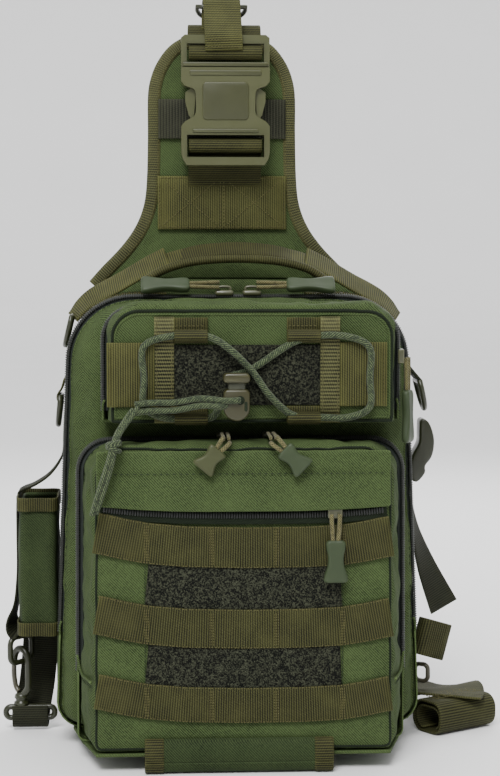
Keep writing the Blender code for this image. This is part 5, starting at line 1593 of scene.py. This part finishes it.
def left_side():
    for name, bar, lean in (("d_ring_left_upper", (-108.2, 26.0, 279.4), -0.24),
                            ("d_ring_left_lower", (-116.3, 38.0, 226.0), -0.10)):
        rod(name + "_rod", d_points(bar, (0, 1, 0), (lean, 0, -1), 28.0, 23.0, 1.8), 1.8, name, hook_plastic,
            name, closed=True)
    route = [(-113.6, 38.0, 238.0), (-115.8, 38.0, 231.0), (-118.3, 38.0, 227.0), (-117.6, 38.0, 222.8),
             (-114.6, 38.0, 221.0)]
    ribbon("ring_keeper_left", route, (0, 1, 0), 22.0, "bag", webbing, thickness=1.3)

    def ring(z, grow):
        return [(-142.0 - grow, 8.0 - grow, z), (-130.3, 7.2 - grow * 1.6, z), (-118.9, 8.0 - grow, z),
                (-118.7, 31.0, z), (-118.9, 54.0 + grow, z), (-130.3, 54.8 + grow * 1.6, z),
                (-142.0 - grow, 54.0 + grow, z), (-143.0 - grow * 1.5, 31.0, z)]

    verts = []
    faces = []
    levels = [(70.0, -1.0), (73.0, 0.2), (90.0, 0.8), (115.0, 1.0), (140.0, 0.6), (160.0, 0.0)]
    for z, grow in levels:
        verts += [tuple(p) for p in smooth(ring(z, grow), 3, True)]
    size = 24
    for i in range(len(levels) - 1):
        for k in range(size):
            m = (k + 1) % size
            faces.append((i * size + k, i * size + m, (i + 1) * size + m, (i + 1) * size + k))
    faces.append(list(range(size))[::-1])
    pouch = make("pouch_left", verts, faces)
    wall = pouch.modifiers.new("wall", "SOLIDIFY")
    wall.thickness = 1.8 * MM
    wall.offset = -1.0
    applied(pouch)
    refine(pouch)
    crumple(pouch, 1.0, 14.0, lambda p: 1.0 if 75 < p.z < 150 else 0.0)
    box_uv(pouch)
    # Painted shade: the pouch takes the darker copy of the fabric.
    finish_piece(pouch, "bag", painted_shade_fabric, "side_pouch")
    for tag, z, width in (("top", 157.0, 9.0), ("foot", 74.5, 9.0)):
        path = smooth([(x, y, z) for x, y, _ in ring(z, 1.1)], 4, True)
        binding = sweep("pouch_binding_" + tag, path, (0, 0, 1), flat_section(width, 1.3), closed=True)
        finish_piece(binding, "bag", webbing)

    route = [(-112.4, 234.0), (-112.8, 222.0), (-114.0, 196.0), (-116.2, 185.0), (-124.0, 174.0),
             (-134.5, 166.8), (-142.0, 163.8), (-145.2, 159.0), (-145.6, 135.0), (-145.6, 110.0),
             (-147.0, 88.0), (-150.0, 77.0), (-149.5, 71.0), (-147.0, 67.2), (-144.5, 66.8)]
    across = [(0, 1, 0)] * 10 + [(0.08, 0.99, 0), (0.25, 0.97, 0), (0.45, 0.89, 0), (0.64, 0.77, 0),
                                 (0.64, 0.77, 0)]
    ribbon("side_strap", [(px, 38.0, pz) for px, pz in route], across, 20.0, "bag", dark_webbing,
           "side_strap_left")
    way = Vector((math.cos(math.radians(50)), math.sin(math.radians(50)), 0))
    cross = Vector((math.cos(math.radians(-40)), math.sin(math.radians(-40)), 0))
    centre = Vector((-144.5, 38.0, 0.0))
    outline = rounded_rect(0.0, 55.05, 10.3, 8.65, 5.0, 6)
    rod("strap_ring", [centre + way * a + Vector((0, 0, b)) for a, b in outline], 1.9, "strap_ring_left",
        hook_plastic, "strap_ring_left", closed=True)
    bow = [(0, 22.5), (2.2, 24.5), (5.8, 28.0), (6.6, 33.0), (6.6, 40.0), (6.6, 46.0), (5.6, 51.0), (3.2, 54.0),
           (0.0, 55.2), (-3.2, 54.0), (-5.6, 51.0), (-6.6, 47.0)]
    rod("snap_bow", [centre + cross * a + Vector((0, 0, b)) for a, b in bow], 2.4, "snap_hook", hook_plastic,
        "snap_hook", per_span=3)
    gate = [(-6.6, 45.0), (-6.5, 36.0), (-5.0, 29.0), (-2.4, 25.8)]
    rod("snap_gate", [centre + cross * a + Vector((0, 0, b)) for a, b in gate], 1.7, "hook_gate", snap_metal,
        "hook_gate", per_span=4)
    lathe("snap_collar", (-144.5, 38.0), [(0.0, 25.2), (3.0, 25.2), (4.3, 24.0), (4.7, 22.0), (3.8, 20.6),
                                          (3.8, 19.8), (4.9, 19.0), (5.0, 17.4), (4.0, 16.4), (0.0, 16.4)],
          "snap_hook", hook_plastic)
    outline = rounded_rect(-138.5, 11.8, 16.4, 3.7, 3.5, 6)
    rod("snap_eye", [(a, 38.0, b) for a, b in outline], 2.0, "hook_eye", hook_plastic, "hook_eye", closed=True)
    route = [(-138.5, 34.2, 17.0), (-138.5, 33.4, 12.0), (-138.5, 33.2, 8.0), (-138.5, 35.0, 4.0),
             (-138.5, 38.5, 2.4), (-138.0, 42.5, 5.0), (-137.5, 44.5, 12.0), (-134.5, 50.0, 30.0),
             (-132.5, 52.5, 50.0), (-131.0, 52.8, 72.0)]
    ribbon("hook_web", route, (1, 0, 0), 24.0, "bag", dark_webbing, "hook_webbing", 1.6)


def lathe(name, centre, profile, body, material, replaces=(), steps=20):
    """A turned piece about an upright axis."""
    verts = []
    faces = []
    size = len(profile)
    for k in range(steps):
        angle = TAU * k / steps
        for r, z in profile:
            verts.append((centre[0] + r * math.cos(angle), centre[1] + r * math.sin(angle), z))
    for k in range(steps):
        m = (k + 1) % steps
        for i in range(size - 1):
            faces.append((k * size + i, k * size + i + 1, m * size + i + 1, m * size + i))
    piece = make(name, verts, faces)
    bm = bmesh.new()
    bm.from_mesh(piece.data)
    bmesh.ops.remove_doubles(bm, verts=bm.verts, dist=1e-6)
    bmesh.ops.dissolve_degenerate(bm, edges=bm.edges, dist=1e-7)
    bmesh.ops.recalc_face_normals(bm, faces=bm.faces)
    bm.to_mesh(piece.data)
    bm.free()
    box_uv(piece)
    return finish_piece(piece, body, material, replaces)


left_side()


def right_side():
    route = arc((68.0, 251.0), 44.0, 28, 4, 4) + [(113.6, 248.0), (120.4, 239.4), (123.8, 235.6)]
    path = [(px, 35.0, pz) for px, pz in route]
    ribbon("ring_tab", path, (0, 1, 0), 25.0, "bag", dark_webbing, "ring_tab_right", 2.2)
    rod("right_ring", d_points((122.8, 35.0, 235.6), (0, 1, 0), (0.24, 0, -1), 28.0, 23.0, 1.8), 1.8,
        "d_ring_right", hook_plastic, "d_ring_right", closed=True)
    outline = [(124.2, 210.0), (129.5, 208.0), (133.0, 199.0), (133.3, 191.0), (131.5, 184.0), (127.5, 178.5),
               (127.3, 173.5), (121.6, 167.5), (116.6, 172.0), (118.6, 185.0), (123.0, 194.0), (123.4, 202.0)]
    curve = smooth([(px, 0, pz) for px, pz in outline], 3, True)
    slab("claw_hook", [(p.x, p.z) for p in curve], 27.0, 43.0, "side_hook_right", hook_plastic,
         "side_hook_right", 1.6, 3)
    route = [(118.6, 46.0, 158.0), (119.8, 45.0, 152.0), (123.5, 45.0, 132.0), (131.0, 44.0, 108.0),
             (143.0, 42.0, 80.0)]
    across = [(0.1, 0.99, 0.0), (0.15, 0.99, 0.0), (0.3, 0.95, 0.0), (0.6, 0.8, 0.0), (0.87, 0.5, 0.0)]
    ribbon("tail_web", route, across, 25.0, "strap_tail_right", dark_webbing, "strap_tail_right", 1.6, 5)
    tilt = math.radians(18)
    turn = math.radians(28)
    centre = Vector((134.0, 40.0, 58.5))
    axis = Vector((math.sin(tilt) * math.cos(turn), math.sin(tilt) * math.sin(turn), math.cos(tilt)))
    wide = Vector((math.cos(tilt) * math.cos(turn), math.cos(tilt) * math.sin(turn), -math.sin(tilt)))
    deep = axis.cross(wide)
    outline = rounded_rect(0.0, 0.0, 11.6, 5.6, 4.6, 6)
    path = [centre + wide * a + deep * b for a, b in outline]
    loop = sweep("keeper_roll", path, tuple(axis), flat_section(25.0, 1.5), closed=True)
    finish_piece(loop, "bag", strap_webbing, "keeper_loop_right")
    way = Vector((math.cos(math.radians(-35)), math.sin(math.radians(-35)), 0))
    centre = Vector((127.5, 40.0, 0))
    outline = rounded_rect(0.0, 35.25, 4.9, 5.65, 3.4, 5)
    rod("small_ring", [centre + way * a + Vector((0, 0, b)) for a, b in outline], 1.6, "swivel_ring_right",
        snap_metal, "swivel_ring_right", closed=True)


right_side()


def sleeve():
    """The sleeve under the base: cloth from its front seam, under the bag, to its rear edge."""
    route = [(-77.6, 21.6, 0), (-80.4, 18.6, 0), (-81.6, 13.0, 0), (-81.2, 8.0, 0), (-79.6, 3.4, 0),
             (-75.6, 1.5, 0), (-68.0, 1.4, 0), (-30.0, 1.4, 0), (10.0, 1.4, 0), (44.0, 1.5, 0),
             (50.0, 2.2, 0), (53.0, 4.8, 0), (53.6, 9.6, 0)]
    for tag, part, body in (("front", route[:4], "lower_pocket"), ("under", route[3:], "bag")):
        path = smooth(part, 4)
        cloth = sweep("sleeve_cloth_" + tag, [(-3.0, p.x, p.y) for p in path], (1, 0, 0),
                      flat_section(112.0, 1.7, across=14))
        box_uv(cloth)
        # Painted shade: the sleeve takes the darker copy of the fabric.
        finish_piece(cloth, body, painted_shade_fabric, "bottom_sleeve" if tag == "under" else ())
        for x, label in ((-55.5, "left"), (49.5, "right")):
            edge = sweep("sleeve_binding_%s_%s" % (tag, label), [(x, p.x - 0.5, p.y) for p in path], (1, 0, 0),
                         flat_section(12.0, 2.6))
            finish_piece(edge, body, webbing)


sleeve()
